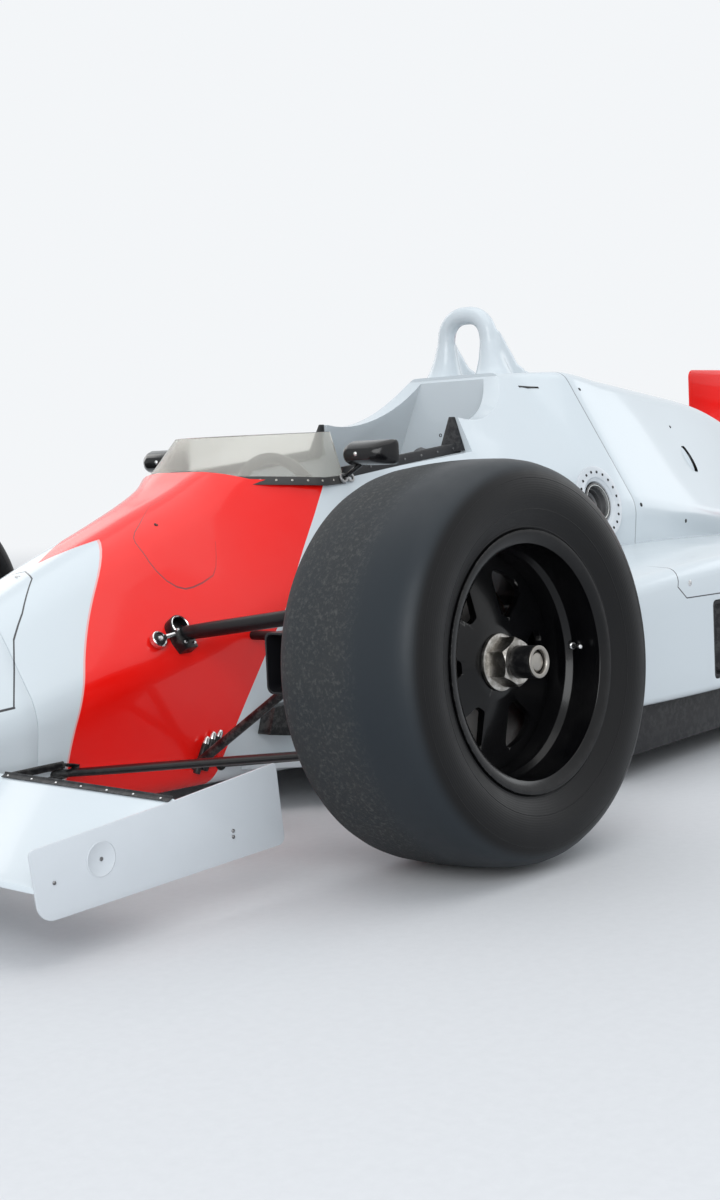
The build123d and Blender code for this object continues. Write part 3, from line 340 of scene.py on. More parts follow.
def rounded(corners, radii, steps=6, spans=3, closed=False):
    """Flat points along straight runs joined by arcs. An open line keeps its two ends."""
    corners = [Vector(corner) for corner in corners]
    count = len(corners)
    points = [] if closed else [corners[0]]
    for k in range(0 if closed else 1, count if closed else count - 1):
        before, corner, after = corners[k - 1], corners[k], corners[(k + 1) % count]
        to_before = (before - corner).normalized()
        to_after = (after - corner).normalized()
        half = to_before.angle(to_after) / 2
        radius = radii[k - (0 if closed else 1)]
        reach = radius * cos(half) / sin(half)
        centre = corner + (to_before + to_after).normalized() * radius / sin(half)
        start, end = corner + to_before * reach - centre, corner + to_after * reach - centre
        if points:
            last = points[-1]
            points += [last.lerp(centre + start, i / (spans + 1)) for i in range(1, spans + 1)]
        turn = start.angle(end)
        for i in range(steps + 1):
            t = i / steps
            points.append(centre + (start * sin((1 - t) * turn) + end * sin(t * turn)) / sin(turn))
    if closed:
        last, first = points[-1], points[0]
        points += [last.lerp(first, i / (spans + 1)) for i in range(1, spans + 1)]
    else:
        last = points[-1]
        points += [last.lerp(corners[-1], i / (spans + 1)) for i in range(1, spans + 2)]
    return points


def box_outline(width, height, radius, steps=4, spans=0):
    """A rounded rectangle about nought, as flat points."""
    corners = [
        (width / 2, -height / 2), (width / 2, height / 2), (-width / 2, height / 2), (-width / 2, -height / 2)
    ]
    return rounded(corners, [radius] * 4, steps, spans, closed=True)


def turns(count, start=0.0):
    """Even turns round a full circle."""
    return [start + 2 * pi * k / count for k in range(count)]


def across(x, points):
    """Flat points stood across the car at x."""
    return [Vector((x, y, z)) for y, z in points]


def beside(y, points):
    """Flat points, each an x and a z, stood along the car at y."""
    return [Vector((x, y, z)) for x, z in points]


def hull_ring(x, inset=0.0):
    """The body's section at x, as a ring of points from the keel up its left side and down its right."""
    foot_y, foot_z, side_y, side_z, top_y, top_z, foot_r, side_r, top_r = eased(BODY, x)
    corners = [
        (0, foot_z + inset),
        (foot_y - inset, foot_z + inset),
        (side_y - inset, side_z),
        (top_y - 0.8 * inset, top_z - inset),
        (0, top_z - inset),
    ]
    half = rounded(corners, [foot_r, side_r, top_r], steps=8, spans=3)
    other = [Vector((-point.x, point.y)) for point in reversed(half[1:-1])]
    return across(x, half + other)


def hull(x_front, x_rear, inset=0.0, step=0.031):
    """The body between two stations."""
    count = max(1, round((x_front - x_rear) / step))
    return skin([hull_ring(x_front + (x_rear - x_front) * i / count, inset) for i in range(count + 1)])


class Finish:
    """A material's node tree, with short calls for the nodes that this script uses."""

    def __init__(self, name, color, roughness=0.5, metallic=0.0, **constants):
        self.material = bpy.data.materials.new(name)
        self.material.use_nodes = True
        self.tree = self.material.node_tree
        self.bsdf = self.tree.nodes["Principled BSDF"]
        self.set(Base_Color=(*color, 1), Roughness=roughness, Metallic=metallic, **constants)

    def set(self, **constants):
        for key, value in constants.items():
            self.bsdf.inputs[key.replace("_", " ")].default_value = value

    def feed(self, socket, output):
        self.tree.links.new(output, self.bsdf.inputs[socket])

    def put(self, socket, value):
        if isinstance(value, bpy.types.NodeSocket):
            self.tree.links.new(value, socket)
        else:
            socket.default_value = value

    def node(self, kind, **inputs):
        made = self.tree.nodes.new(kind)
        for key, value in inputs.items():
            self.put(made.inputs[key.replace("_", " ")], value)
        return made

    def place(self):
        """Object coordinates, which are the car's own frame."""
        return self.tree.nodes.new("ShaderNodeTexCoord").outputs["Object"]

    def math(self, operation, a, b=0.0, c=0.0):
        made = self.tree.nodes.new("ShaderNodeMath")
        made.operation = operation
        for socket, value in zip(made.inputs, (a, b, c)):
            self.put(socket, value)
        return made.outputs[0]

    def times(self, a, b):
        return self.math("MULTIPLY", a, b)

    def fused(self, a, b, c):
        """The product of the first two plus the third."""
        return self.math("MULTIPLY_ADD", a, b, c)

    def vector(self, operation, a, b=(0, 0, 0), out="Vector"):
        made = self.tree.nodes.new("ShaderNodeVectorMath")
        made.operation = operation
        self.put(made.inputs[0], a)
        self.put(made.inputs[1], b)
        return made.outputs[out]

    def split(self, vector):
        made = self.tree.nodes.new("ShaderNodeSeparateXYZ")
        self.put(made.inputs[0], vector)
        return made.outputs

    def ramp(self, value, low, high, to_low=0.0, to_high=1.0):
        """A smooth step of a value from one level to another."""
        made = self.node(
            "ShaderNodeMapRange", Value=value, From_Min=low, From_Max=high, To_Min=to_low, To_Max=to_high
        )
        made.interpolation_type = "SMOOTHSTEP"
        return made.outputs["Result"]

    def blend(self, mask, first, second):
        """A colour that goes from the first to the second with the mask."""
        made = self.tree.nodes.new("ShaderNodeMix")
        made.data_type = "RGBA"
        self.put(made.inputs[0], mask)
        for socket, value in ((made.inputs[6], first), (made.inputs[7], second)):
            self.put(socket, value if isinstance(value, bpy.types.NodeSocket) else (*value, 1))
        return made.outputs[2]

    def noise(self, vector, scale, detail=3.0, roughness=0.5):
        return self.node(
            "ShaderNodeTexNoise", Vector=vector, Scale=scale, Detail=detail, Roughness=roughness
        ).outputs["Fac"]

    def bump(self, height, strength, distance):
        made = self.node("ShaderNodeBump", Height=height, Strength=strength, Distance=distance)
        self.feed("Normal", made.outputs["Normal"])

    def group(self, tree, **inputs):
        made = self.tree.nodes.new("ShaderNodeGroup")
        made.node_tree = tree
        for key, value in inputs.items():
            self.put(made.inputs[key.replace("_", " ")], value)
        return made.outputs


class Effect(Finish):
    """A node group that several materials share, with named inputs and outputs."""

    def __init__(self, name, inputs, outputs):
        self.tree = bpy.data.node_groups.new(name, "ShaderNodeTree")
        for label, value in inputs:
            kind = "NodeSocketVector" if value is None else "NodeSocketFloat"
            socket = self.tree.interface.new_socket(label, in_out="INPUT", socket_type=kind)
            if value is not None:
                socket.default_value = value
        for label in outputs:
            self.tree.interface.new_socket(label, in_out="OUTPUT", socket_type="NodeSocketFloat")
        self.given = self.tree.nodes.new("NodeGroupInput").outputs
        self.out = self.tree.nodes.new("NodeGroupOutput").inputs


def dust_effect():
    """Faint dust, more on faces that look up, in patches, with a fine grain beside it."""
    effect = Effect("dust", [
        ("Place", None), ("Patch Scale", 3.0), ("Grain Scale", 400.0), ("Amount", 0.2)
    ], ["Dust", "Grain"])
    given = effect.given
    patch = effect.ramp(effect.noise(given["Place"], given["Patch Scale"], 6.0, 0.6), 0.35, 0.75)
    up = effect.split(effect.tree.nodes.new("ShaderNodeNewGeometry").outputs["Normal"])["Z"]
    settled = effect.times(patch, effect.ramp(up, -0.2, 1.0, 0.35, 1.0))
    effect.put(effect.out["Dust"], effect.times(settled, given["Amount"]))
    effect.put(effect.out["Grain"], effect.noise(given["Place"], given["Grain Scale"], 2.0, 0.6))
    return effect.tree


def edge_effect():
    """Worn edges, and on the black wheel paint a painted highlight: one on convex edges, broken up by noise,
    nought elsewhere.
    """
    effect = Effect("edge_wear_and_highlight", [("Place", None), ("Noise Scale", 60.0), ("Amount", 0.5)], ["Wear"])
    given = effect.given
    point = effect.tree.nodes.new("ShaderNodeNewGeometry").outputs["Pointiness"]
    edge = effect.ramp(point, 0.52, 0.6)
    broken = effect.ramp(effect.noise(given["Place"], given["Noise Scale"], 5.0, 0.7), 0.45, 0.6)
    # On the black wheel paint this edge mask gives a painted highlight; elsewhere it is wear
    worn = effect.times(edge, broken)
    effect.put(effect.out["Wear"], effect.times(worn, given["Amount"]))
    return effect.tree


def gap_effect():
    """A thin line where a distance is near nought, one inside its half width and nought beyond."""
    effect = Effect("panel_gap", [("Distance", 0.0), ("Half Width", 0.0011)], ["Line"])
    given = effect.given
    apart = effect.math("ABSOLUTE", given["Distance"])
    wide = effect.times(given["Half Width"], 1.8)
    effect.put(effect.out["Line"], effect.ramp(apart, given["Half Width"], wide, 1.0, 0.0))
    return effect.tree


DUST = dust_effect()
EDGE = edge_effect()
GAP = gap_effect()

WHITE = (0.62, 0.67, 0.7)
RED = (0.86, 0.007, 0.004)
GAP_DARK = (0.05, 0.05, 0.055)
DUST_TONE = (0.5, 0.48, 0.44)


def segment_gap(shader, a, b, start, end):
    """Distance of a point (a, b) from a straight stretch, both given in two coordinates."""
    run = (end[0] - start[0], end[1] - start[1])
    square = run[0] ** 2 + run[1] ** 2
    from_a = shader.math("SUBTRACT", a, start[0])
    from_b = shader.math("SUBTRACT", b, start[1])
    t = shader.fused(from_a, run[0] / square, shader.times(from_b, run[1] / square))
    held = shader.node("ShaderNodeClamp", Value=t).outputs[0]
    off_a = shader.fused(held, -run[0], from_a)
    off_b = shader.fused(held, -run[1], from_b)
    return shader.math("SQRT", shader.fused(off_a, off_a, shader.times(off_b, off_b)))


def paint(name, color, make_color=None, gaps=None):
    """Glossy body paint with faint dust and a slight ripple. gaps draws sunk dark panel lines."""
    shader = Finish(name, color, 0.32, Coat_Weight=0.35, Coat_Roughness=0.06, Specular_IOR_Level=0.3)
    place = shader.place()
    effect = shader.group(DUST, Place=place, Patch_Scale=2.6, Grain_Scale=900.0, Amount=0.04)
    tone = make_color(shader, place) if make_color else color
    tone = shader.blend(effect["Dust"], tone, DUST_TONE)
    height = shader.fused(shader.noise(place, 7.0, 2.0, 0.4), 0.5, shader.times(effect["Grain"], 0.012))
    if gaps:
        line = gaps(shader, place)
        tone = shader.blend(line, tone, GAP_DARK)
        height = shader.fused(line, -1.0, height)
    shader.feed("Base Color", tone)
    shader.feed("Roughness", shader.fused(effect["Dust"], 1.5, 0.22))
    shader.bump(height, 0.12, 0.002)
    return shader.material


def band_color(shader, place):
    """White with one red band that leans back over the scuttle and bulges forward over the ridge."""
    x, y, z = shader.split(place)

    def edge(low, middle, high):
        """The band's edge through three places, each a height and an x, as a curve in height."""
        (z0, x0), (z1, x1), (z2, x2) = low, middle, high
        grade = (x1 - x0) / (z1 - z0)
        bend = ((x2 - x1) / (z2 - z1) - grade) / (z2 - z0)
        above = shader.math("SUBTRACT", z, z0)
        line = shader.fused(above, grade, x0)
        product = shader.times(above, shader.math("SUBTRACT", z, z1))
        return shader.fused(product, bend, line)

    front = edge((0.143, 1.683), (0.361, 1.6), (0.603, 1.394))
    rear = edge((0.134, 1.325), (0.357, 1.201), (0.609, 1.045))
    # Over the rounded top the front edge runs forward to the middle
    half = shader.math("ABSOLUTE", y)
    over = shader.fused(half, -2.05, 1.575)
    front = shader.math("MAXIMUM", front, over)
    lead = shader.math("SUBTRACT", front, x)
    ahead = shader.ramp(lead, -0.0006, 0.0006)
    behind = shader.ramp(shader.math("SUBTRACT", x, rear), -0.0006, 0.0006)
    tone = shader.blend(shader.times(ahead, behind), WHITE, RED)
    pin_line = shader.times(ahead, shader.ramp(lead, 0.004, 0.0028))
    return shader.blend(pin_line, tone, (0.8, 0.42, 0.4))


# Hatch over the pedals: its line in x and half width, from the top forward, down and back
HATCH = [
    (1.3, 0.05), (1.337, 0.048), (1.387, 0.075), (1.408, 0.084), (1.418, 0.092), (1.4215, 0.101),
    (1.4205, 0.113), (1.416, 0.129), (1.409, 0.142), (1.398, 0.155), (1.384, 0.166), (1.369, 0.173),
    (1.352, 0.177), (1.33, 0.18), (1.305, 0.182), (1.293, 0.178), (1.284, 0.171), (1.274, 0.16)
]


# The nose cone's seam, from the middle of its top down to its side, columns: x, half width
NOSE_SEAM = [(1.602, 0.0), (1.62, 0.043), (1.686, 0.096), (1.724, 0.118), (1.747, 0.145), (1.776, 0.177)]


def nearest_run(shader, a, b, points):
    """Distance from the nearest stretch of a drawn line."""
    runs = [segment_gap(shader, a, b, p, q) for p, q in zip(points, points[1:])]
    nearest = runs[0]
    for run in runs[1:]:
        nearest = shader.math("MINIMUM", nearest, run)
    return nearest


def tub_gaps(shader, place):
    """The hatch's line and the nose cone's seam, the same on both sides."""
    x, y, z = shader.split(place)
    side = shader.math("ABSOLUTE", y)
    hatch = shader.group(GAP, Distance=nearest_run(shader, x, side, HATCH), Half_Width=0.0006)["Line"]
    fade = shader.times(shader.ramp(x, 1.27, 1.345), shader.ramp(side, 0.05, 0.085))
    hatch = shader.times(hatch, shader.times(shader.ramp(z, 0.38, 0.4), shader.fused(fade, 0.55, 0.2)))
    seam = shader.group(GAP, Distance=nearest_run(shader, x, side, NOSE_SEAM), Half_Width=0.001)["Line"]
    seam = shader.times(seam, shader.ramp(z, 0.262, 0.265))
    low = nearest_run(shader, x, z, [(1.776, 0.2635), (1.93, 0.25)])
    low = shader.group(GAP, Distance=low, Half_Width=0.0014)["Line"]
    joint = shader.math("ABSOLUTE", shader.math("SUBTRACT", x, 0.1762))
    joint = shader.times(shader.group(GAP, Distance=joint, Half_Width=0.001)["Line"], 0.6)
    return shader.math("MAXIMUM", shader.math("MAXIMUM", hatch, joint), shader.math("MAXIMUM", seam, low))


def pod_gaps(shader, place):
    """The hatch's line on the pods' outer sides."""
    x, _, z = shader.split(place)
    line = nearest_run(shader, x, z, [
        (0.528, 0.42), (0.544, 0.371), (0.512, 0.346), (0.03, 0.34), (0.02, 0.42)
    ])
    drawn = shader.group(GAP, Distance=line, Half_Width=0.0009)["Line"]
    return shader.times(drawn, shader.ramp(z, 0.412, 0.408))


def plain(
    name, color, roughness=0.55, metallic=0.0, dust=0.3, grain=1200.0, bump=0.3, worn_and_lit_edge_tone=None, patch=12.0,
    **constants
):
    """A finish with dust, grain and, where an edge tone is given, convex edges in that tone: wear, and on the
    black wheel paint a painted highlight.
    """
    shader = Finish(name, color, roughness, metallic, **constants)
    place = shader.place()
    effect = shader.group(DUST, Place=place, Patch_Scale=patch, Grain_Scale=grain, Amount=dust)
    tone = shader.blend(effect["Dust"], color, tuple(
        0.25 * c + 0.75 * d for c, d in zip(color, (0.22, 0.21, 0.19))
    ))
    if worn_and_lit_edge_tone:
        # Convex edges take the edge tone: worn finish, and on the wheels a painted highlight
        worn_and_lit_edge = shader.group(EDGE, Place=place, Noise_Scale=80.0, Amount=0.8)["Wear"]
        tone = shader.blend(worn_and_lit_edge, tone, worn_and_lit_edge_tone)
    shader.feed("Base Color", tone)
    shader.feed("Roughness", shader.fused(effect["Grain"], 0.22, roughness - 0.1))
    shader.bump(effect["Grain"], bump, 0.0006)
    return shader.material


def from_axle(shader, place, hub, lean, side):
    """How far a point lies along a wheel's axle, outwards from its middle, and how far from the axle."""
    spin = (0.0, cos(lean) * side, sin(lean))
    away = shader.vector("SUBTRACT", place, (hub.x, hub.y * side, hub.z))
    along = shader.vector("DOT_PRODUCT", away, spin, "Value")
    square = shader.vector("DOT_PRODUCT", away, away, "Value")
    return along, shader.math("SQRT", shader.math("SUBTRACT", square, shader.times(along, along)))


def tyre_rubber(name, hub, lean, side):
    """Slick tyre: speckled worn inner tread, smoother outer tread, dark sidewalls with fine rings."""
    shader = Finish(name, (0.03, 0.031, 0.033), 0.6, Specular_IOR_Level=0.26)
    place = shader.place()
    along, radius = from_axle(shader, place, hub, lean, side)
    tread = shader.ramp(radius, hub.z - 0.034, hub.z - 0.016)
    speckle = shader.noise(place, 130.0, 6.0, 0.8)
    fine = shader.noise(place, 420.0, 3.0, 0.7)
    wave = shader.noise(place, 14.0, 4.0, 0.65)
    worn = shader.times(tread, shader.ramp(along, 0.055, -0.01))
    pitted = shader.times(shader.ramp(speckle, 0.5, 0.64), worn)
    # The tread's lighter bluish tone is partly scrubbed rubber and partly a painted sky reflection
    tone = shader.blend(tread, (0.003, 0.003, 0.0035), (0.017, 0.022, 0.027))
    tone = shader.blend(shader.times(wave, worn), tone, (0.04, 0.041, 0.041))
    tone = shader.blend(shader.times(pitted, 0.7), tone, (0.095, 0.095, 0.092))
    shader.feed("Base Color", tone)
    rough = shader.fused(wave, 0.22, 0.34)
    shader.feed("Roughness", shader.fused(worn, 0.3, rough))
    rings = shader.math("SINE", shader.times(radius, 1600.0))
    flank = shader.times(shader.times(rings, 0.04), shader.math("SUBTRACT", 1.0, tread))
    grit = shader.times(shader.fused(speckle, 0.6, fine), worn)
    shader.bump(shader.fused(pitted, 0.6, shader.math("ADD", grit, flank)), 0.5, 0.0018)
    return shader.material


def weave(name, color, second, scale, roughness=0.7):
    """Woven cloth or webbing: fine crossed threads."""
    shader = Finish(name, color, roughness, Sheen_Weight=0.3)
    place = shader.place()
    x, y, z = shader.split(shader.vector("MULTIPLY", place, (scale, scale, scale)))
    warp = shader.math("SINE", shader.math("ADD", x, z))
    weft = shader.math("SINE", shader.math("ADD", y, z))
    thread = shader.times(warp, weft)
    effect = shader.group(DUST, Place=place, Patch_Scale=20.0, Grain_Scale=900.0, Amount=0.3)
    tone = shader.blend(shader.ramp(thread, -0.6, 0.6), color, second)
    shader.feed("Base Color", shader.blend(effect["Dust"], tone, (0.16, 0.155, 0.15)))
    shader.feed("Roughness", shader.fused(effect["Grain"], 0.2, roughness - 0.1))
    shader.bump(thread, 0.5, 0.0006)
    return shader.material


def screen_tint():
    """Smoke tinted screen, dusty towards its foot."""
    shader = Finish("smoked_screen", (0.76, 0.75, 0.7), 0.08, Transmission_Weight=0.74, IOR=1.08)
    place = shader.place()
    haze = shader.group(DUST, Place=place, Patch_Scale=5.0, Grain_Scale=600.0, Amount=0.5)
    shader.feed("Base Color", shader.blend(haze["Dust"], (0.76, 0.75, 0.7), (0.62, 0.61, 0.56)))
    shader.feed("Roughness", shader.fused(haze["Dust"], 0.35, 0.1))
    return shader.material


def finned(name, color, spacing):
    """Radiator core: close bright fins with painted shade in the gaps between them."""
    shader = Finish(name, color, 0.5, 0.9)
    place = shader.place()
    x, y, z = shader.split(place)
    fin = shader.math("SINE", shader.times(z, 2 * pi / spacing))
    tube = shader.math("SINE", shader.times(shader.math("ADD", x, y), pi / spacing))
    effect = shader.group(DUST, Place=place, Patch_Scale=9.0, Grain_Scale=700.0, Amount=0.4)
    # The dark stripes between the fins are painted shade, for the depth of the core
    tone = shader.blend(shader.ramp(fin, -0.3, 0.5), (0.02, 0.02, 0.02), color)
    tone = shader.blend(shader.ramp(tube, 0.8, 0.95), tone, color)
    shader.feed("Base Color", shader.blend(effect["Dust"], tone, (0.16, 0.15, 0.13)))
    shader.feed("Roughness", shader.fused(effect["Grain"], 0.3, 0.35))
    shader.bump(shader.math("MAXIMUM", fin, tube), 0.6, 0.002)
    return shader.material


def disc_face(name, hub, lean, side):
    """Ground brake disc: fine rings round the axle, darker and browner towards its rim."""
    shader = Finish(name, (0.36, 0.35, 0.34), 0.4, 1.0)
    place = shader.place()
    radius = from_axle(shader, place, hub, lean, side)[1]
    rings = shader.noise(shader.node("ShaderNodeCombineXYZ", X=radius).outputs[0], 900.0, 4.0, 0.8)
    effect = shader.group(DUST, Place=place, Patch_Scale=16.0, Grain_Scale=700.0, Amount=0.4)
    tone = shader.blend(shader.ramp(radius, 0.148, 0.16), (0.34, 0.33, 0.32), (0.16, 0.1, 0.07))
    shader.feed("Base Color", shader.blend(effect["Dust"], tone, (0.2, 0.13, 0.09)))
    shader.feed("Roughness", shader.fused(rings, 0.3, 0.25))
    shader.bump(rings, 0.2, 0.0005)
    return shader.material


PAINT_BODY = paint("white_and_red_paint", WHITE, band_color, tub_gaps)
PAINT_WHITE = paint("white_paint", WHITE)
PAINT_POD = paint("pod_paint", WHITE, gaps=pod_gaps)
PAINT_RED = paint("red_paint", RED)
BLACK_PLASTIC = plain(
    "black_composite", (0.006, 0.006, 0.008), 0.42, dust=0.07, worn_and_lit_edge_tone=(0.05, 0.05, 0.05),
    Specular_IOR_Level=0.35
)
SHADOW_BLACK = plain("unlit_black", (0.002, 0.002, 0.002), 0.9, dust=0.02, Specular_IOR_Level=0.05)
BLACK_GLOSS = plain(
    "black_gloss", (0.005, 0.005, 0.006), 0.18, dust=0.04, bump=0.1, Specular_IOR_Level=0.3, Coat_Weight=0.1
)
# The pale edge tone of the wheel paint is a painted highlight along the rims' lips and window edges, with a
# little worn paint
WHEEL_BLACK = plain(
    "black_wheel_paint", (0.002, 0.002, 0.0025), 0.2, dust=0.03, bump=0.1, worn_and_lit_edge_tone=(0.18, 0.175, 0.165),
    Specular_IOR_Level=0.24, Coat_Weight=0.08
)
LEG_BLACK = plain(
    "black_leg_paint", (0.004, 0.004, 0.005), 0.3, dust=0.05, bump=0.2, worn_and_lit_edge_tone=(0.07, 0.068, 0.065),
    Specular_IOR_Level=0.28, Coat_Weight=0.05
)
RUBBER = plain("black_rubber", (0.018, 0.018, 0.019), 0.6, dust=0.3, bump=0.35)
STEEL = plain("worn_steel", (0.36, 0.34, 0.31), 0.32, 1.0, dust=0.5, worn_and_lit_edge_tone=(0.62, 0.6, 0.57), patch=30.0)
CHROME = plain("bright_fastener", (0.72, 0.72, 0.72), 0.2, 1.0, dust=0.2, bump=0.1)
ALLOY = plain("cast_alloy", (0.36, 0.36, 0.365), 0.45, 1.0, dust=0.35, grain=320.0, worn_and_lit_edge_tone=(0.6, 0.6, 0.6))
DARK_ALLOY = plain("dark_alloy", (0.15, 0.15, 0.155), 0.5, 1.0, dust=0.4, grain=260.0, worn_and_lit_edge_tone=(0.4, 0.4, 0.4))
MACHINED = plain("machined_alloy", (0.66, 0.67, 0.66), 0.3, 1.0, dust=0.15, bump=0.12)
PIPE = plain("heat_tinted_pipe", (0.36, 0.26, 0.19), 0.36, 1.0, dust=0.6, worn_and_lit_edge_tone=(0.16, 0.13, 0.2), patch=8.0)
GLASS = plain("mirror_glass", (0.82, 0.84, 0.86), 0.12, 1.0, dust=0.08, bump=0.02)
SCREEN = screen_tint()
CORE = finned("radiator_core", (0.3, 0.3, 0.3), 0.004)
SEAT_CLOTH = weave("seat_cloth", (0.022, 0.022, 0.026), (0.04, 0.04, 0.046), 2600.0, 0.8)
WEBBING = weave("harness_webbing", (0.018, 0.018, 0.022), (0.034, 0.034, 0.04), 3400.0, 0.65)
SUEDE = plain("suede_grip", (0.016, 0.016, 0.018), 0.85, dust=0.3, grain=1600.0, bump=0.5, Sheen_Weight=0.4)
DIAL_FACE = plain("dial_face", (0.01, 0.01, 0.01), 0.5, dust=0.1)
MARK_WHITE = plain("dial_marks", (0.72, 0.72, 0.7), 0.5, dust=0.1)
PLATE_GREY = plain("pale_grey_paint", (0.58, 0.61, 0.64), 0.3, dust=0.12, bump=0.08, Coat_Weight=0.4)
SPRING = plain("spring_enamel", (0.3, 0.012, 0.01), 0.3, dust=0.25, bump=0.1, Coat_Weight=0.4)
LAMP_RED = plain("lamp_red", (0.42, 0.006, 0.006), 0.12, dust=0.1, bump=0.05, Coat_Weight=0.6)

PANEL_EDGE = 0.0022


def nose_panel():
    """The nose cone, its tip rounded."""
    piece = hull(NOSE_X, NOSE_JOINT_X)
    round_edges(piece, PANEL_EDGE, 2, 30, lambda middle: middle.x < NOSE_X - 0.01)
    dress(piece, "nose_panel", PAINT_BODY, angle=32, stands_for=("nose_cone",))


def side_cutter(points, half):
    """A wide block whose side view is the given outline."""
    return slab(beside(-half, points), (0, 2 * half, 0))


def tub_panel():
    """The tub: cut down to the cockpit rim, hollowed for the cockpit and the pedals, and bored for the filler."""
    piece = hull(NOSE_JOINT_X, COVER_JOINT_X + 0.0003)
    above = 1.1
    sweep = three_point_arc(*SWEEP, 12)
    carve(piece, side_cutter([*RIM, *sweep, (SWEEP[-1][0], above), (RIM[0][0], above)], 0.45))
    rings = []
    for x, floor_y, floor_z, side_y, side_z, top_y, top_z in COCKPIT:
        corners = [(floor_y, floor_z), (side_y, side_z), (top_y, top_z)]
        corners = rounded([(0, floor_z), *corners, (0, top_z)], [0.05, 0.1, 0.01], 5, 2)
        rings.append(across(x, corners + [Vector((-p.x, p.y)) for p in reversed(corners[1:-1])]))
    carve(piece, skin(rings))
    pedal_rings = [
        across(x, [p + Vector((0, middle)) for p in box_outline(width, height, 0.06)])
        for x, middle, width, height in [(1.055, 0.285, 0.4, 0.38), (1.6, 0.23, 0.3, 0.27)]
    ]
    carve(piece, skin(pedal_rings))
    carve(piece, drum(-0.03, 0.05, 0.05, FILLER, FILLER_AXIS, 40))
    bulkhead = 0.345
    # The bulkhead's corners, rounded as far as the short edges beside them leave room
    round_edges(piece, 0.03, 6, 20, lambda middle: abs(middle.x - bulkhead) > 0.001 or not 0.4 < middle.z < 0.8)
    round_edges(
        piece, 0.004, 3, 32, lambda middle: middle.x > NOSE_JOINT_X - 0.01 or middle.x < COVER_JOINT_X + 0.002
    )
    dress(piece, "tub_panel", PAINT_BODY, angle=34, stands_for=("tub",))


def three_point_arc(first, middle, last, steps):
    """Flat points along the arc through three places."""
    (ax, ay), (bx, by), (cx, cy) = first, middle, last
    d = 2 * (ax * (by - cy) + bx * (cy - ay) + cx * (ay - by))
    a2, b2, c2 = ax * ax + ay * ay, bx * bx + by * by, cx * cx + cy * cy
    ux = (a2 * (by - cy) + b2 * (cy - ay) + c2 * (ay - by)) / d
    uy = (a2 * (cx - bx) + b2 * (ax - cx) + c2 * (bx - ax)) / d
    radius = hypot(ax - ux, ay - uy)
    start = atan2(ay - uy, ax - ux)
    half = atan2(by - uy, bx - ux)
    end = atan2(cy - uy, cx - ux)
    turn = (end - start) % (2 * pi)
    if (half - start) % (2 * pi) > turn:
        turn -= 2 * pi
    return [Vector((ux + radius * cos(start + turn * i / steps), uy + radius * sin(start + turn * i / steps)))
            for i in range(steps + 1)]


def cover_panel():
    """The engine cover, a thin shell open behind and underneath."""
    piece = hull(COVER_JOINT_X - 0.0003, COVER_END_X + 0.0002)
    inner = hull(COVER_JOINT_X + 0.0005, COVER_END_X + 0.0002, 0.005, 0.062)
    for vertex in inner.data.vertices:
        if vertex.co.x > COVER_JOINT_X - 0.001:
            vertex.co.x += 0.01
        if vertex.co.x < COVER_END_X + 0.001:
            vertex.co.x -= 0.01
    carve(piece, inner)
    slot = [Vector((x, y, -0.01)) for x, y in [
        (-0.49, 0.154), (-1.53, 0.154), (-1.53, -0.154), (-0.49, -0.154)
    ]]
    carve(piece, slab(slot, (0, 0, 0.31)))
    dress(piece, "engine_cover_panel", PAINT_WHITE, 0.0015, angle=32, stands_for=("engine_cover",))


def roll_hoop():
    """The hoop, its flared feet and the webs behind its legs, melted into one smooth form."""
    leg, crown = 0.066, 0.975
    path = rounded([
        (-leg - 0.008, 0.8), (-leg + 0.008, crown), (leg - 0.008, crown), (leg + 0.008, 0.8)
    ], [0.052, 0.052], 10, 4)
    hoop = pipe([Vector((0.28, y, z)) for y, z in path], 0.0222, 3, True, 2)
    parts = [hoop]
    for side in (1, -1):
        web = [(0.276, 0.94), (0.205, 0.858), (0.177, 0.846), (0.177, 0.812), (0.276, 0.812)]
        parts.append(slab(beside(side * 0.073 - 0.0195, web), (0, 0.039, 0)))
        foot = Vector((0.28, side * 0.074, 0.812))
        flare = [
            (0.0, 0), (0.0, 0.05), (0.016, 0.047), (0.034, 0.038), (0.062, 0.029), (0.1, 0.022), (0.1, 0)
        ]
        parts.append(lathe(flare, foot, (0, -side * 0.1, 1), 32))
    piece = weld(*parts)
    modify(piece, "REMESH", mode="VOXEL", voxel_size=0.0042, use_smooth_shade=True)
    modify(piece, "SMOOTH", factor=0.6, iterations=14)
    dress(piece, "roll_hoop_form", PAINT_WHITE, angle=60, stands_for=("roll_hoop",))


def hoop_webs_on_cover():
    """The tail of each hoop web, on the engine cover."""
    for name, side in SIDES:
        web = [(0.1735, 0.8435), (0.114, 0.8275), (0.114, 0.81), (0.1735, 0.81)]
        piece = slab(beside(side * 0.075 - 0.0135, web), (0, 0.027, 0))
        dress(piece, f"hoop_web_tail_{name}", PAINT_WHITE, 0.006, 4, angle=30)


def pod_ring(x, side, inset):
    """A sidepod's section, open towards the tub."""
    outer_y, foot_z, shoulder_z, crease_z = eased(PODS, x)
    corners = [
        (POD_ROOT_Y, foot_z + inset),
        (outer_y - inset, foot_z + inset),
        (outer_y - inset, shoulder_z - inset),
        (POD_ROOT_Y, crease_z - inset),
    ]
    line = rounded(corners, [0.016 - inset, 0.034 - inset], 6, 4)
    return [Vector((x, side * p.x, p.y)) for p in line]


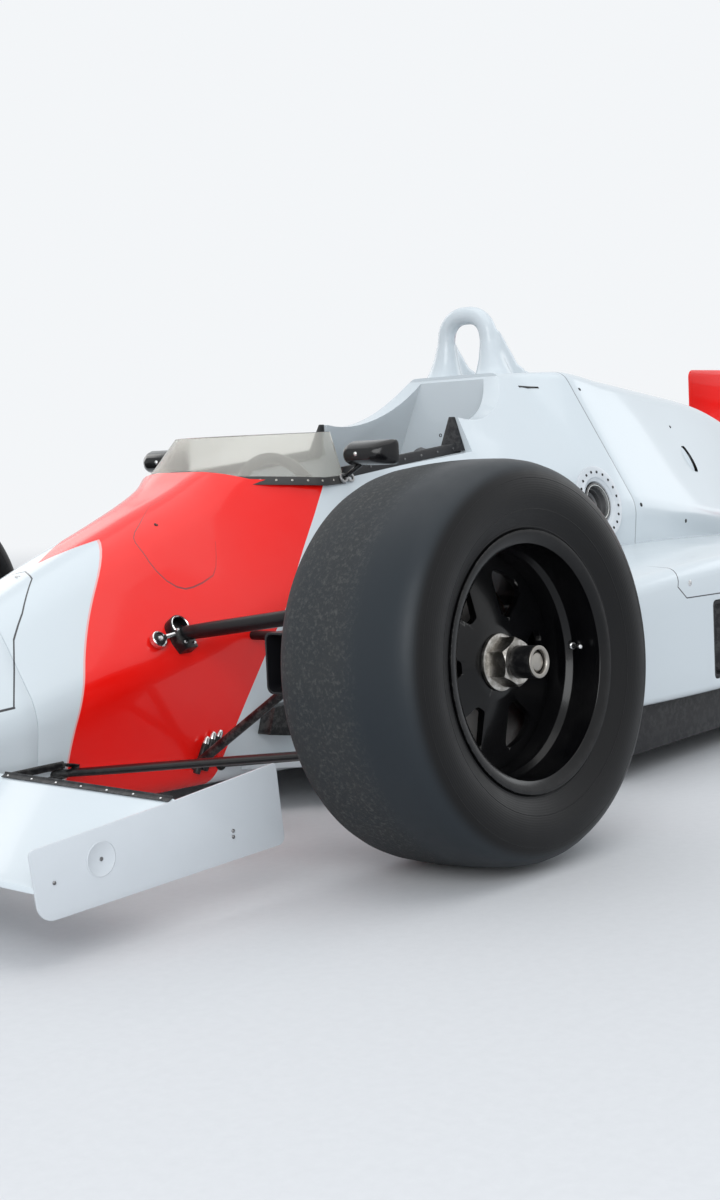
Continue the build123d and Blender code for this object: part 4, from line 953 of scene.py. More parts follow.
def sidepods(core):
    """Hollow pods with an open front, a side outlet, its black frame and its slanted vanes."""
    for name, side in SIDES:
        x_front, x_rear = PODS[0][0], PODS[-1][0]
        count = 48
        stations = [x_front + (x_rear - x_front) * i / count for i in range(count + 1)]
        outer = skin([pod_ring(x, side, 0.0) for x in stations])
        stations[0] += 0.01
        stations[-1] -= 0.01
        inner_rings = [pod_ring(min(max(x, x_rear), x_front), side, POD_WALL) for x in stations]
        for ring, x in ((inner_rings[0], stations[0]), (inner_rings[-1], stations[-1])):
            for point in ring:
                point.x = x
        carve(outer, skin(inner_rings))
        vent = rounded([(0.413, 0.168), (0.413, 0.332), (0.06, 0.332), (0.06, 0.168)], [0.01] * 4, 3, 0, True)
        carve(outer, slab(beside(side * 0.64, vent), (0, side * 0.12, 0)))
        carve(outer, core, keep=True)
        dress(
            outer, f"sidepod_panel_{name}", PAINT_POD, 0.0014, angle=32,
            stands_for=(f"sidepod_{name}",)
        )
        frame_outer = rounded([
            (0.411, 0.17), (0.411, 0.33), (0.062, 0.33), (0.062, 0.17)
        ], [0.009] * 4, 3, 0, True)
        frame_inner = rounded([
            (0.404, 0.177), (0.404, 0.323), (0.069, 0.323), (0.069, 0.177)
        ], [0.006] * 4, 3, 0, True)
        border = slab(beside(side * 0.7, frame_outer), (0, side * 0.0185, 0))
        carve(border, slab(beside(side * 0.69, frame_inner), (0, side * 0.04, 0)))
        dress(border, f"outlet_frame_{name}", BLACK_PLASTIC, 0.001)
        vanes = []
        for k in range(5):
            x = 0.37 - 0.066 * k
            vane = [(x, 0.69), (x - 0.05, 0.714), (x - 0.0515, 0.711), (x - 0.0015, 0.687)]
            vanes.append(slab([Vector((a, side * b, 0.1775)) for a, b in vane], (0, 0, 0.1455)))
        dress(vanes, f"outlet_vanes_{name}", BLACK_PLASTIC, 0.0005, 1)


def screen_line(z, t):
    """A point on the windscreen's outer line at a height; t goes from its left end to its right one."""
    low = (0.611, 1.236, 0.24, 1.06)
    high = (0.712, 1.138, 0.205, 1.01)
    k = (z - low[0]) / (high[0] - low[0])
    nose_x, half, corner_x = [a + (b - a) * k for a, b in zip(low[1:], high[1:])]
    run = nose_x - corner_x
    radius = (run * run + half * half) / (2 * run)
    reach = atan2(half, radius - run)
    end_x = 0.99
    straight = corner_x - end_x
    total = 2 * straight + 2 * reach * radius
    s = t * total
    if s < straight:
        return Vector((end_x + s, half, z))
    if s > total - straight:
        return Vector((end_x + total - s, -half, z))
    turn = reach - (s - straight) / radius
    return Vector((nose_x - radius + radius * cos(turn), radius * sin(turn), z))


# The screen's foot on the body, columns: x, height
SCREEN_FOOT = [(0.985, 0.614), (1.04, 0.612), (1.174, 0.622), (1.222, 0.641)]


def foot_height(x):
    """Height of the screen's foot at x."""
    rows = SCREEN_FOOT
    for (x0, z0), (x1, z1) in zip(rows, rows[1:]):
        if x <= x1:
            return z0 + (z1 - z0) * max(0.0, (x - x0) / (x1 - x0))
    return rows[-1][1]


def windscreen():
    """The smoked screen, its rubber foot trim and the trim's screws."""
    columns = 56
    rings = []
    for k in range(9):
        ring = []
        for i in range(columns + 1):
            t = i / columns
            low = foot_height(screen_line(0.64, t).x) - 0.004
            ring.append(screen_line(low + (0.7115 - low) * k / 8, t))
        rings.append(ring)
    piece = skin(rings, closed=False, capped=False)
    modify(piece, "SOLIDIFY", thickness=0.0032, offset=-1)
    dress(piece, "windscreen_pane", SCREEN, angle=30, stands_for=("windscreen",))
    rings = []
    for i in range(columns + 1):
        t = i / columns
        foot = foot_height(screen_line(0.64, t).x)
        low, high = screen_line(foot - 0.006, t), screen_line(foot + 0.01, t)
        out = Vector((low.x - 1.0, low.y, 0)).normalized() * 0.0022
        back = out * -1.9
        rings.append([low + out, high + out, high + back, low + back])
    trim = skin(rings)
    dress(trim, "windscreen_trim", RUBBER, 0.0008)
    screws = []
    for i in range(1, 24):
        t = i / 24
        foot = foot_height(screen_line(0.64, t).x) + 0.003
        point = screen_line(foot, t)
        out = Vector((point.x - 1.0, point.y, 0)).normalized()
        screws.append(lathe(
            [(0, 0), (0, 0.0026), (0.0008, 0.0022), (0.0012, 0.0012), (0.0012, 0)], point + out * 0.0018,
            out + Vector((0, 0, 0.3)), 10
        ))
    dress(screws, "windscreen_screws", STEEL, angle=50)


def cockpit_edge():
    """Black edging along each side of the cockpit, with its screws and the upright fin at its end."""
    for name, side in SIDES:
        rings = []
        for i in range(13):
            t = i / 12
            x = 0.988 + (0.584 - 0.988) * t
            y = 0.232 + (0.207 - 0.232) * t
            z = 0.617 + (0.656 - 0.617) * t
            line = box_outline(0.0088, 0.024, 0.003, 3)
            rings.append([Vector((x, side * y + p.x, z + 0.012 + p.y)) for p in line])
        strip = skin(rings)
        foot = [(0.632, 0.19), (0.632, 0.205), (0.5845, 0.224), (0.5845, 0.19)]
        tip = [(0.5955, 0.19), (0.5955, 0.1965), (0.5845, 0.199), (0.5845, 0.19)]
        fin = skin([
            [Vector((x, side * y, z)) for x, y in line] for line, z in ((foot, 0.661), (tip, 0.7345))
        ])
        stands = ("cockpit_edging",) if side == 1 else ()
        dress(
            [strip, fin], f"cockpit_edge_{name}", BLACK_PLASTIC, 0.0012, angle=30,
            stands_for=stands
        )
        screws = []
        for i in range(7):
            t = (i + 0.5) / 7
            place = Vector((0.988 - 0.404 * t, side * (0.2366 - 0.025 * t), 0.63 + 0.039 * t))
            screws.append(lathe([
                (0, 0), (0, 0.0026), (0.001, 0.0023), (0.0014, 0.001), (0.0014, 0)
            ], place, (0, side, 0), 12))
        dress(screws, f"cockpit_edge_screws_{name}", DARK_ALLOY, angle=50)


def mirror_pair():
    """Wedge shaped mirror housings with a set back glass, a side screw, a stalk and its cups."""
    x, y, z = 0.985, 0.302, 0.666
    # Housing sections, columns: x from the middle, sideways shift, height shift, width, height, corner radius
    sections = [
        (-0.0238, 0, 0, 0.117, 0.049, 0.01), (-0.012, 0, 0, 0.117, 0.049, 0.012),
        (0.006, -0.002, -0.001, 0.108, 0.043, 0.015), (0.02, -0.004, -0.0015, 0.092, 0.034, 0.015),
        (0.0285, -0.006, -0.002, 0.07, 0.022, 0.0105)
    ]
    for name, side in SIDES:
        rings = []
        for dx, dy, dz, width, height, radius in sections:
            line = box_outline(width, height, radius, 5, 1)
            rings.append([Vector((x + dx, side * (y + dy) + p.x, z + dz + p.y)) for p in line])
        housing = skin(rings)
        recess = [Vector((x - 0.03, side * y + p.x, z + p.y)) for p in box_outline(0.107, 0.039, 0.007, 5, 1)]
        carve(housing, slab(recess, (0.011, 0, 0)))
        stands = ("mirrors",) if side == 1 else ()
        dress(housing, f"mirror_housing_{name}", BLACK_GLOSS, 0.0015, 3, stands_for=stands)
        pane = [
            Vector((x - 0.0208, side * y + p.x, z + p.y)) for p in box_outline(0.106, 0.038, 0.0065, 5, 1)
        ]
        dress(slab(pane, (0.002, 0, 0)), f"mirror_glass_{name}", GLASS, 0.0004, 1, angle=30)
        screw = lathe(
            [(0, 0), (0, 0.0046), (0.0016, 0.0042), (0.0026, 0.0024), (0.0026, 0)],
            (x + 0.028, side * (y - 0.01), z - 0.001), (1, 0, 0), 24
        )
        dress(screw, f"mirror_screw_{name}", CHROME, angle=50)
        foot = Vector((x + 0.004, side * 0.241, 0.622))
        neck = Vector((x - 0.004, side * (y - 0.02), z - 0.018))
        middle = foot.lerp(neck, 0.5) + Vector((0.004, 0, -0.004))
        stalk = pipe([foot, middle, neck], 0.0046)
        dress(stalk, f"mirror_stalk_{name}", BLACK_GLOSS, angle=50)
        cup = [(0, 0.005), (0, 0.0095), (0.002, 0.0105), (0.005, 0.0095), (0.005, 0.005)]
        cups = [lathe(cup, foot + Vector((-0.012 + 0.02 * k, 0, -0.004)), (0, side, 0.3), 24) for k in (0, 1)]
        dress(cups, f"mirror_foot_{name}", ALLOY, 0.0006)


def fuel_filler():
    """Bolted refuelling flange with a stepped throat and its valve plate."""
    profile = [
        (-0.0255, 0.0442), (-0.0255, 0.05), (0.014, 0.05), (0.0142, 0.0815), (0.0196, 0.0815), (0.02, 0.079),
        (0.02, 0.056), (0.017, 0.054), (0.015, 0.048), (0.005, 0.046), (0.0, 0.0442)
    ]
    ring = lathe(profile, FILLER, FILLER_AXIS, 96)
    dress(ring, "filler_flange", PLATE_GREY, 0.0008, stands_for=("fuel_filler",))
    throat = lathe([
        (-0.025, 0), (-0.025, 0.044), (0.015, 0.044), (0.016, 0.0428), (0.016, 0.0405), (0.008, 0.04),
        (0.008, 0.0365), (-0.002, 0.036), (-0.002, 0.033), (-0.013, 0.0325), (-0.018, 0.025), (-0.018, 0)
    ], FILLER, FILLER_AXIS, 64)
    dress(throat, "filler_throat", DARK_ALLOY, 0.0006)
    seat_ring = lathe([
        (0.0082, 0.037), (0.0082, 0.0402), (0.015, 0.0404), (0.015, 0.0385)
    ], FILLER, FILLER_AXIS, 64)
    dress(seat_ring, "filler_ring", MACHINED, 0.0004, 1)
    valve = lathe([
        (-0.0178, 0), (-0.0178, 0.024), (-0.012, 0.022), (-0.01, 0.016), (-0.01, 0.006), (-0.007, 0.005),
        (-0.007, 0)
    ], FILLER, FILLER_AXIS, 48)
    dress(valve, "filler_valve", DARK_ALLOY, 0.0006)
    up = FILLER_AXIS.orthogonal().normalized()
    bolts = []
    for turn in turns(20):
        turned = Matrix.Rotation(turn, 3, FILLER_AXIS) @ up
        place = FILLER + FILLER_AXIS * 0.0196 + turned * 0.068
        bolts.append(lathe([
            (0, 0), (0, 0.0034), (0.0014, 0.003), (0.0016, 0.002), (0.0006, 0.0016), (0.0006, 0)
        ], place, FILLER_AXIS, 12))
    dress(bolts, "filler_bolts", LEG_BLACK, angle=40)


def wheel_points(lean, side):
    """Spin axis of a wheel, pointing outwards, and two directions across it."""
    spin = Vector((0, side * cos(lean), sin(lean)))
    ahead = Vector((1, 0, 0))
    return spin, ahead, spin.cross(ahead)


# Tyre outlines, columns: distance from the wheel's middle plane, radius, drawn smooth between them
TYRES = {
    "front": [
        (0.119, 0.1905), (0.1196, 0.2), (0.1215, 0.2085), (0.129, 0.221), (0.1372, 0.236), (0.1422, 0.252),
        (0.1429, 0.266), (0.1412, 0.28), (0.1372, 0.293), (0.13, 0.3035), (0.12, 0.311), (0.106, 0.3165),
        (0.088, 0.32), (0.06, 0.3222), (0.03, 0.3238), (0.0, 0.3244)
    ],
    "rear": [
        (0.176, 0.1905), (0.1766, 0.2), (0.1785, 0.2085), (0.185, 0.222), (0.191, 0.238), (0.1955, 0.256),
        (0.1969, 0.272), (0.1955, 0.288), (0.1918, 0.301), (0.185, 0.312), (0.175, 0.3215), (0.16, 0.329),
        (0.135, 0.3355), (0.095, 0.3395), (0.048, 0.342), (0.0, 0.3429)
    ]
}


def tyre(end, name, side, hub, lean):
    """A slick tyre with rounded shoulders, fine sidewall beads and a moulding line."""
    spin = wheel_points(lean, side)[0]
    line = TYRES[end]
    body = f"wheel_{end}_{name}"
    inner = [(a - 0.011, r) for a, r in line[2:10]] + [(line[13][0], line[13][1] - 0.012)]
    outer = line + [(-a, r) for a, r in reversed(line[:-1])]
    bead_a, bead_r = line[0][0] - 0.011, line[0][1] + 0.002
    profile = outer + [(-bead_a, bead_r)] + [(-a, r) for a, r in inner] + inner[::-1] + [(bead_a, bead_r)]
    piece = lathe(profile, hub, spin, 160)
    finish = tyre_rubber(f"tyre_rubber_{end}_{name}", hub, lean, side)
    dress(
        piece, f"tyre_carcass_{end}_{name}", finish, angle=40,
        stands_for=(f"tyre_{end}_{name}",), body=body
    )
    beads = []
    # Raised rings, columns: radius, half width, height
    for radius, half, height in [(0.2115, 0.0016, 0.0014), (0.238, 0.0008, 0.0008), (0.286, 0.0008, 0.0008)]:
        k = next(i for i in range(len(line) - 1) if line[i][1] <= radius <= line[i + 1][1])
        (a0, r0), (a1, r1) = line[k], line[k + 1]
        a = a0 + (a1 - a0) * (radius - r0) / (r1 - r0)
        for way in (1, -1):
            beads.append(lathe([
                (way * (a - 0.001), radius - half), (way * (a + height * 0.3), radius - half),
                (way * (a + height * 0.3), radius + half), (way * (a - 0.001), radius + half)
            ], hub, spin, 96))
    dress(beads, f"tyre_beads_{end}_{name}", finish, 0.0004, angle=30, body=body)


def from_edge(profile, edge, hub, spin, steps):
    """A wheel's turned part, its profile measured outwards from the rim's edge."""
    return lathe([(edge + a, r) for a, r in profile], hub, spin, steps)


def rim(end, name, side, hub, lean, edge):
    """A deep dished six window wheel with rolled lips, and its valve."""
    spin, ahead, up = wheel_points(lean, side)
    body = f"wheel_{end}_{name}"
    barrel = lathe([
        (edge, 0.2066), (edge - 0.005, 0.2068), (edge - 0.0075, 0.2), (edge - 0.0085, 0.1898),
        (0.0085 - edge, 0.1898), (0.0075 - edge, 0.2), (0.005 - edge, 0.2068), (-edge, 0.2066),
        (0.001 - edge, 0.195), (0.008 - edge, 0.1835), (edge - 0.1185, 0.1825), (edge - 0.112, 0.175),
        (edge - 0.07, 0.1752), (edge - 0.06, 0.1838), (edge - 0.0075, 0.1845), (edge - 0.0012, 0.195)
    ], hub, spin, 128)
    dress(
        barrel, f"rim_barrel_{end}_{name}", WHEEL_BLACK, 0.0014, 3, angle=28,
        stands_for=(f"rim_{end}_{name}",), body=body
    )
    face = from_edge(
        [(-0.117, 0.1748), (-0.109, 0.14), (-0.098, 0.085), (-0.0868, 0.058), (-0.0868, 0.0265),
         (-0.0734, 0.0265), (-0.0734, 0.054), (-0.076, 0.06), (-0.085, 0.085),
         (-0.096, 0.13), (-0.102, 0.16), (-0.103, 0.1748)], edge, hub, spin, 96)
    cuts = []
    for turn in turns(6):
        window = rounded(
            [(0.08, -0.01), (0.146, -0.047), (0.155, 0.0), (0.146, 0.047), (0.08, 0.01)],
            [0.008, 0.013, 0.03, 0.013, 0.008], 5, 1, True
        )
        points = []
        for p in window:
            a, b = p.x * cos(turn) - p.y * sin(turn), p.x * sin(turn) + p.y * cos(turn)
            points.append(hub + spin * (edge - 0.13) + ahead * a + up * b)
        cuts.append(slab(points, spin * 0.08))
    carve(face, weld(*cuts))
    dress(face, f"rim_face_{end}_{name}", WHEEL_BLACK, 0.0024, 3, angle=32, body=body)
    turn = radians(182)
    foot = hub + (ahead * cos(turn) + up * side * sin(turn)) * 0.1755 + spin * (edge - 0.055)
    inward = -(ahead * cos(turn) + up * side * sin(turn))
    lean_out = (inward * 0.5 + spin).normalized()
    valve = lathe([
        (0, 0), (0, 0.0065), (0.004, 0.006), (0.005, 0.0036), (0.02, 0.0032), (0.021, 0.0042),
        (0.028, 0.0042), (0.03, 0.003), (0.03, 0)
    ], foot, lean_out, 20)
    dress(valve, f"tyre_valve_{end}_{name}", CHROME, 0.0003, 1, body=body)


def hub_set(end, name, side, hub, lean, edge):
    """Wheel nut on its flange, spindle with its end plug, brake disc with its bell, and the stub axle."""
    spin, ahead, up = wheel_points(lean, side)
    body = f"wheel_{end}_{name}"
    axle = lathe([
        (-0.1745, 0), (-0.1745, 0.0299), (edge - 0.196, 0.0299), (edge - 0.196, 0.0578),
        (edge - 0.0875, 0.0578), (edge - 0.0875, 0.0258), (edge - 0.01, 0.0258), (edge - 0.01, 0)
    ], hub, spin, 64)
    dress(
        axle, f"stub_axle_{end}_{name}", STEEL, 0.001, stands_for=(f"hub_{end}_{name}",),
        body=body
    )
    disc = []
    for low in (-0.189, -0.171):
        disc.append(tube(edge + low, edge + low + 0.01, 0.056, 0.1598, hub, spin, 96))
    vanes = []
    for turn in turns(30):
        middle = ahead * cos(turn) + up * sin(turn)
        around = up * cos(turn) - ahead * sin(turn)
        points = [
            hub + spin * (edge - 0.1795) + middle * r + around * w
            for r, w in ((0.06, -0.0018), (0.157, -0.0022), (0.157, 0.0022), (0.06, 0.0018))
        ]
        vanes.append(slab(points, spin * 0.009))
    dress(
        [*disc, *vanes], f"brake_disc_{end}_{name}",
        disc_face(f"disc_face_{end}_{name}", hub, lean, side), 0.0006, 1, body=body
    )
    flange = from_edge([
        (-0.0732, 0.0262), (-0.0732, 0.045), (-0.07, 0.0463), (-0.0672, 0.0455), (-0.0655, 0.042),
        (-0.0655, 0.0262)
    ], edge, hub, spin, 64)
    corners = []
    for turn in turns(6, pi / 6):
        corners.append(hub + spin * (edge - 0.066) + (ahead * cos(turn) + up * sin(turn)) * 0.0398)
    nut = slab(corners, spin * 0.0335)
    cone = from_edge([
        (-0.0665, 0), (-0.0665, 0.0405), (-0.0375, 0.0405), (-0.0325, 0.0345), (-0.0325, 0)
    ], edge, hub, spin, 64)
    carve(nut, cone, "INTERSECT")
    carve(nut, drum(edge - 0.07, edge - 0.03, 0.0262, hub, spin, 48))
    dress([nut, flange], f"wheel_nut_{end}_{name}", STEEL, 0.0012, 3, angle=30, body=body)
    sleeve = tube(edge - 0.065, edge + 0.0045, 0.0205, 0.0259, hub, spin, 64)
    dress(sleeve, f"spindle_sleeve_{end}_{name}", LEG_BLACK, 0.0006, body=body)
    tip = from_edge([
        (0.0015, 0.018), (0.0015, 0.0252), (0.007, 0.0258), (0.008, 0.025), (0.008, 0.02), (0.0068, 0.019)
    ], edge, hub, spin, 64)
    dress(tip, f"spindle_ring_{end}_{name}", STEEL, 0.0005, body=body)
    plug = from_edge([
        (-0.009, 0), (-0.009, 0.02), (-0.001, 0.019), (-0.001, 0.015), (0.003, 0.0145), (0.0042, 0.0125),
        (0.0042, 0)
    ], edge, hub, spin, 48)
    dress(plug, f"spindle_plug_{end}_{name}", STEEL, 0.0006, body=body)
    if end == "rear":
        shaft = drum(-0.175, -0.69, 0.0168, hub, spin, 32)
        boots = []
        for start, swell in ((-0.184, 0.04), (-0.625, 0.041)):
            ribs = [(start, 0)]
            for k in range(7):
                ribs += [
                    (start - 0.01 * k, swell - 0.004 * (k % 2)), (start - (0.01 * k + 0.005), swell - 0.002)
                ]
            ribs += [(start - 0.066, 0.03), (start - 0.066, 0)]
            boots.append(lathe(ribs, hub, spin, 40))
        dress(shaft, f"drive_shaft_{name}", STEEL, 0.0006, 1, body=body)
        dress(boots, f"drive_shaft_boots_{name}", RUBBER, 0.0008, body=body)


def wheels():
    """All four wheels."""
    for end, hub, lean, edge in WHEELS:
        for name, side in SIDES:
            place = Vector((hub.x, side * hub.y, hub.z))
            tyre(end, name, side, place, lean)
            rim(end, name, side, place, lean, edge)
            hub_set(end, name, side, place, lean, edge)


def body_at(x, level, side=1, upwards=True):
    """A point on the body's left or right side at a height, or at a half width, and the way out from it."""
    ring = [p for p in hull_ring(x) if p.y >= 0]
    axis = "z" if upwards else "y"
    pairs = list(zip(ring, ring[1:]))
    if not upwards:
        pairs.reverse()
    for a, b in pairs:
        low, high = sorted((getattr(a, axis), getattr(b, axis)))
        if low <= level <= high and high - low > 1e-7 and (upwards or a.z > 0.2):
            place = a.lerp(b, (level - getattr(a, axis)) / (getattr(b, axis) - getattr(a, axis)))
            out = Vector((0.0, b.z - a.z, a.y - b.y)).normalized()
            return Vector((place.x, side * place.y, place.z)), Vector((0.0, side * out.y, out.z))
    raise ValueError(f"nothing of the body at {x}, {level}")


def bolt(place, out, radius=0.004, rise=0.003, sides=12):
    """A low domed bolt head."""
    return lathe([
        (-0.002, 0), (-0.002, radius), (rise * 0.55, radius), (rise, radius * 0.62), (rise, 0)
    ], place, out, sides)


def fastener(place, out, radius=0.0062):
    """A flush quarter turn fastener, a slotted stud."""
    stud = lathe([
        (-0.003, 0), (-0.003, radius), (0.0003, radius), (0.0008, radius * 0.8), (0.0008, 0)
    ], place, out, 24)
    one = out.orthogonal().normalized() * radius
    other = out.cross(one).normalized() * 0.0008
    corners = [place + out * 0.0002 + one * a + other * b for a, b in ((-1, -1), (1, -1), (1, 1), (-1, 1))]
    carve(stud, slab(corners, out * 0.003))
    return stud


def body_fasteners():
    """Quarter turn fasteners of the hatch, the engine cover and the pods, and the hook slots beside the hoop."""
    place, out = body_at(1.618, 0.002, upwards=False)
    place.y = 0.0
    bright, dark = [fastener(place, Vector((0, 0, 1)))], []
    for x, half in [(1.363, 0.095), (0.147, 0.222), (-0.25, 0.215), (-0.62, 0.17)]:
        for side in (1, -1):
            dark.append(fastener(*body_at(x, half, side, upwards=False), 0.0042))
    for side in (1, -1):
        for x, z in [(0.15, 0.519), (-0.05, 0.47)]:
            place, out = body_at(x, z, side)
            dark.append(fastener(place, out, 0.0048))
        for x, z in [(0.499, 0.375), (-0.1, 0.366)]:
            outer_y = eased(PODS, x)[0]
            bright.append(fastener(Vector((x, side * outer_y, z)), Vector((0, side, 0))))
        run = []
        for k in range(15):
            place, out = body_at(0.293 - 0.0032 * k, 0.8 - 0.0003 * k, side)
            up = Vector((1, 0, 0)).cross(out) * side
            corners = ((0.0026, -0.0022), (0.0026, 0.0022), (-0.004, 0.0022), (-0.004, -0.0022))
            run.append([place + out * h + up * w for h, w in corners])
        dark.append(skin(run))
    # A small bored plug in the bulkhead behind the driver
    dark.append(lathe([
        (-0.002, 0.0), (-0.002, 0.0042), (0.0006, 0.0042), (0.0006, 0.0026), (-0.0004, 0.0022), (-0.0004, 0)
    ], Vector((0.345, -0.04, 0.698)), (1, 0, 0), 20))
    dress(bright, "panel_fasteners", CHROME, angle=40)
    dress(dark, "panel_screws", LEG_BLACK, angle=40)


def leg(start, end, wide, thick, steps=10):
    """A suspension leg of oval section, its wide way along the car, drawn in at both ends."""
    start, end = Vector(start), Vector(end)
    run = (end - start).normalized()
    ahead = (Vector((1, 0, 0)) - run * run.x).normalized()
    over = run.cross(ahead)
    rings = []
    for i in range(steps + 1):
        t = i / steps
        taper = 0.55 + 0.45 * min(1.0, min(t, 1 - t) * steps / 2)
        ring = []
        for turn in turns(20):
            ring.append(
                start.lerp(end, t) + ahead * cos(turn) * wide * taper
                + over * sin(turn) * thick * (0.8 + 0.2 * taper)
            )
        rings.append(ring)
    return skin(rings)


KINGPIN = Vector((0, -sin(LEAN), cos(LEAN)))
UPPER_JOINT = Vector((FRONT_AXLE_X, 0.68864, 0.418))
LOWER_JOINT = Vector((FRONT_AXLE_X, 0.70265, 0.175))
# Front legs, columns: outer joint, foot, half widths of the oval
FRONT_LEGS = [
    (UPPER_JOINT, Vector((1.427, 0.19, 0.35)), 0.013, 0.014),
    (UPPER_JOINT, Vector((1.13, 0.225, 0.36)), 0.012, 0.008),
    (LOWER_JOINT, Vector((1.707, 0.18, 0.138)), 0.019, 0.0075),
    (LOWER_JOINT, Vector((1.34, 0.185, 0.096)), 0.011, 0.008),
]


def turned_over(point, side):
    """A point of the left side, or the same on the right."""
    return Vector((point[0], side * point[1], point[2]))


def front_suspension():
    """Legs, pull rods and what holds them to the tub, on both sides."""
    for name, side in SIDES:
        front_legs(name, side)
        front_brackets(name, side)


def front_legs(name, side):
    """Wishbones and the pull rod of one side."""
    pieces = []
    pin = turned_over(KINGPIN, side)
    for joint, foot, wide, thick in FRONT_LEGS:
        joint, foot = turned_over(joint, side), turned_over(foot, side)
        way = (foot - joint).normalized()
        pieces.append(leg(joint + way * 0.012, foot, wide, thick))
    for joint in (UPPER_JOINT, LOWER_JOINT):
        joint = turned_over(joint, side)
        pieces.append(lathe([
            (-0.011, 0.0083), (-0.011, 0.016), (-0.006, 0.0178), (0.006, 0.0178), (0.011, 0.016),
            (0.011, 0.0083)
        ], joint, pin, 36))
    rod = [turned_over((1.402, 0.19, 0.092), side), turned_over((1.375, 0.655, 0.398), side)]
    way = (rod[1] - rod[0]).normalized()
    pieces.append(drum(0.02, 0.512, 0.009, rod[0], way, 24))
    pieces.append(lathe([
        (-0.004, 0), (-0.004, 0.0115), (0.02, 0.0115), (0.026, 0.009), (0.026, 0)
    ], rod[1] - way * 0.03, way, 24))
    dress(
        pieces, f"front_legs_{name}", LEG_BLACK, 0.0006, 1, angle=40,
        stands_for=(f"front_wishbones_{name}",)
    )


def front_brackets(name, side):
    """The clevises, brackets and links at the tub, and their bolts."""
    bright, dark = [], []
    for x, z, reach in [(1.13, 0.358, 0.026), (1.34, 0.1, 0.013), (1.7, 0.139, 0.014)]:
        place, out = body_at(x, z, side)
        dark.append(lathe([
            (-0.004, 0), (-0.004, reach), (0.0008, reach), (0.0022, reach - 0.003), (0.0022, 0)
        ], place, out, 36))
    # Upper front clevis: a block on the tub, an open cup above it and a bright ringed bolt ahead of it
    place, out = body_at(1.425, 0.35, side)
    ahead = Vector((1, 0, 0))
    up = ahead.cross(out) * side

    def at(along, rise, proud):
        return place + ahead * along + up * rise + out * proud

    def ring(middle, inner, outer, depth):
        return lathe([
            (-0.004, inner), (-0.004, outer), (depth, outer), (depth + 0.0012, (inner + outer) / 2),
            (depth, inner)
        ], middle, out, 32)

    block = slab([at(a, b, -0.004) for a, b in (
        (-0.02, -0.036), (0.008, -0.036), (0.016, -0.014), (0.016, 0.002), (-0.02, 0.004)
    )], out * 0.025)
    cup, stud = at(-0.003, 0.012, 0), at(0.046, -0.004, 0)
    dark += [
        block, ring(cup, 0.0165, 0.0215, 0.017), ring(cup, 0.0, 0.0168, 0.004), ring(stud, 0.0, 0.013, 0.004)
    ]
    bright.append(ring(at(-0.003, 0.012, 0.0165), 0.017, 0.0195, 0.0014))
    bright.append(ring(stud, 0.0125, 0.0158, 0.0056))
    bright.append(bolt(at(0.046, -0.004, 0.004), out, 0.006, 0.007, 6))
    pin_from, pin_to = at(0.036, -0.004, 0.01), at(0.01, -0.002, 0.014)
    bright.append(drum(0, (pin_to - pin_from).length, 0.0048, pin_from, pin_to - pin_from, 16))
    for a, b in ((-0.014, -0.028), (0.006, -0.024), (0.012, 0.002)):
        bright.append(bolt(at(a, b, 0.021), out, 0.0036, 0.0032, 6))
    # Rocker links with bright ends that stand beside the pull rod's foot
    for foot, tip in [
        ((1.412, 0.224, 0.094), (1.386, 0.225, 0.146)), ((1.392, 0.222, 0.096), (1.368, 0.224, 0.152)),
        ((1.386, 0.218, 0.096), (1.35, 0.222, 0.153))
    ]:
        foot, tip = turned_over(foot, side), turned_over(tip, side)
        way, length = tip - foot, (tip - foot).length
        dark.append(lathe([(0, 0), (0, 0.0068), (length, 0.006), (length, 0)], foot, way, 24))
        bright.append(lathe([
            (length - 0.001, 0), (length - 0.001, 0.0062), (length + 0.009, 0.0058), (length + 0.013, 0.0034),
            (length + 0.013, 0)
        ], foot, way, 24))
    # A wedge shaped foot below the links
    place, out = body_at(1.2, 0.16, side)
    wedge = [
        Vector((x, place.y - side * 0.006, z))
        for x, z in ((1.262, 0.146), (1.246, 0.196), (1.15, 0.202), (1.15, 0.14), (1.19, 0.134))
    ]
    dark.append(slab(wedge, (0, side * 0.034, 0)))
    dress(dark, f"front_brackets_{name}", LEG_BLACK, 0.0008)
    dress(bright, f"front_bracket_bolts_{name}", CHROME, angle=40)


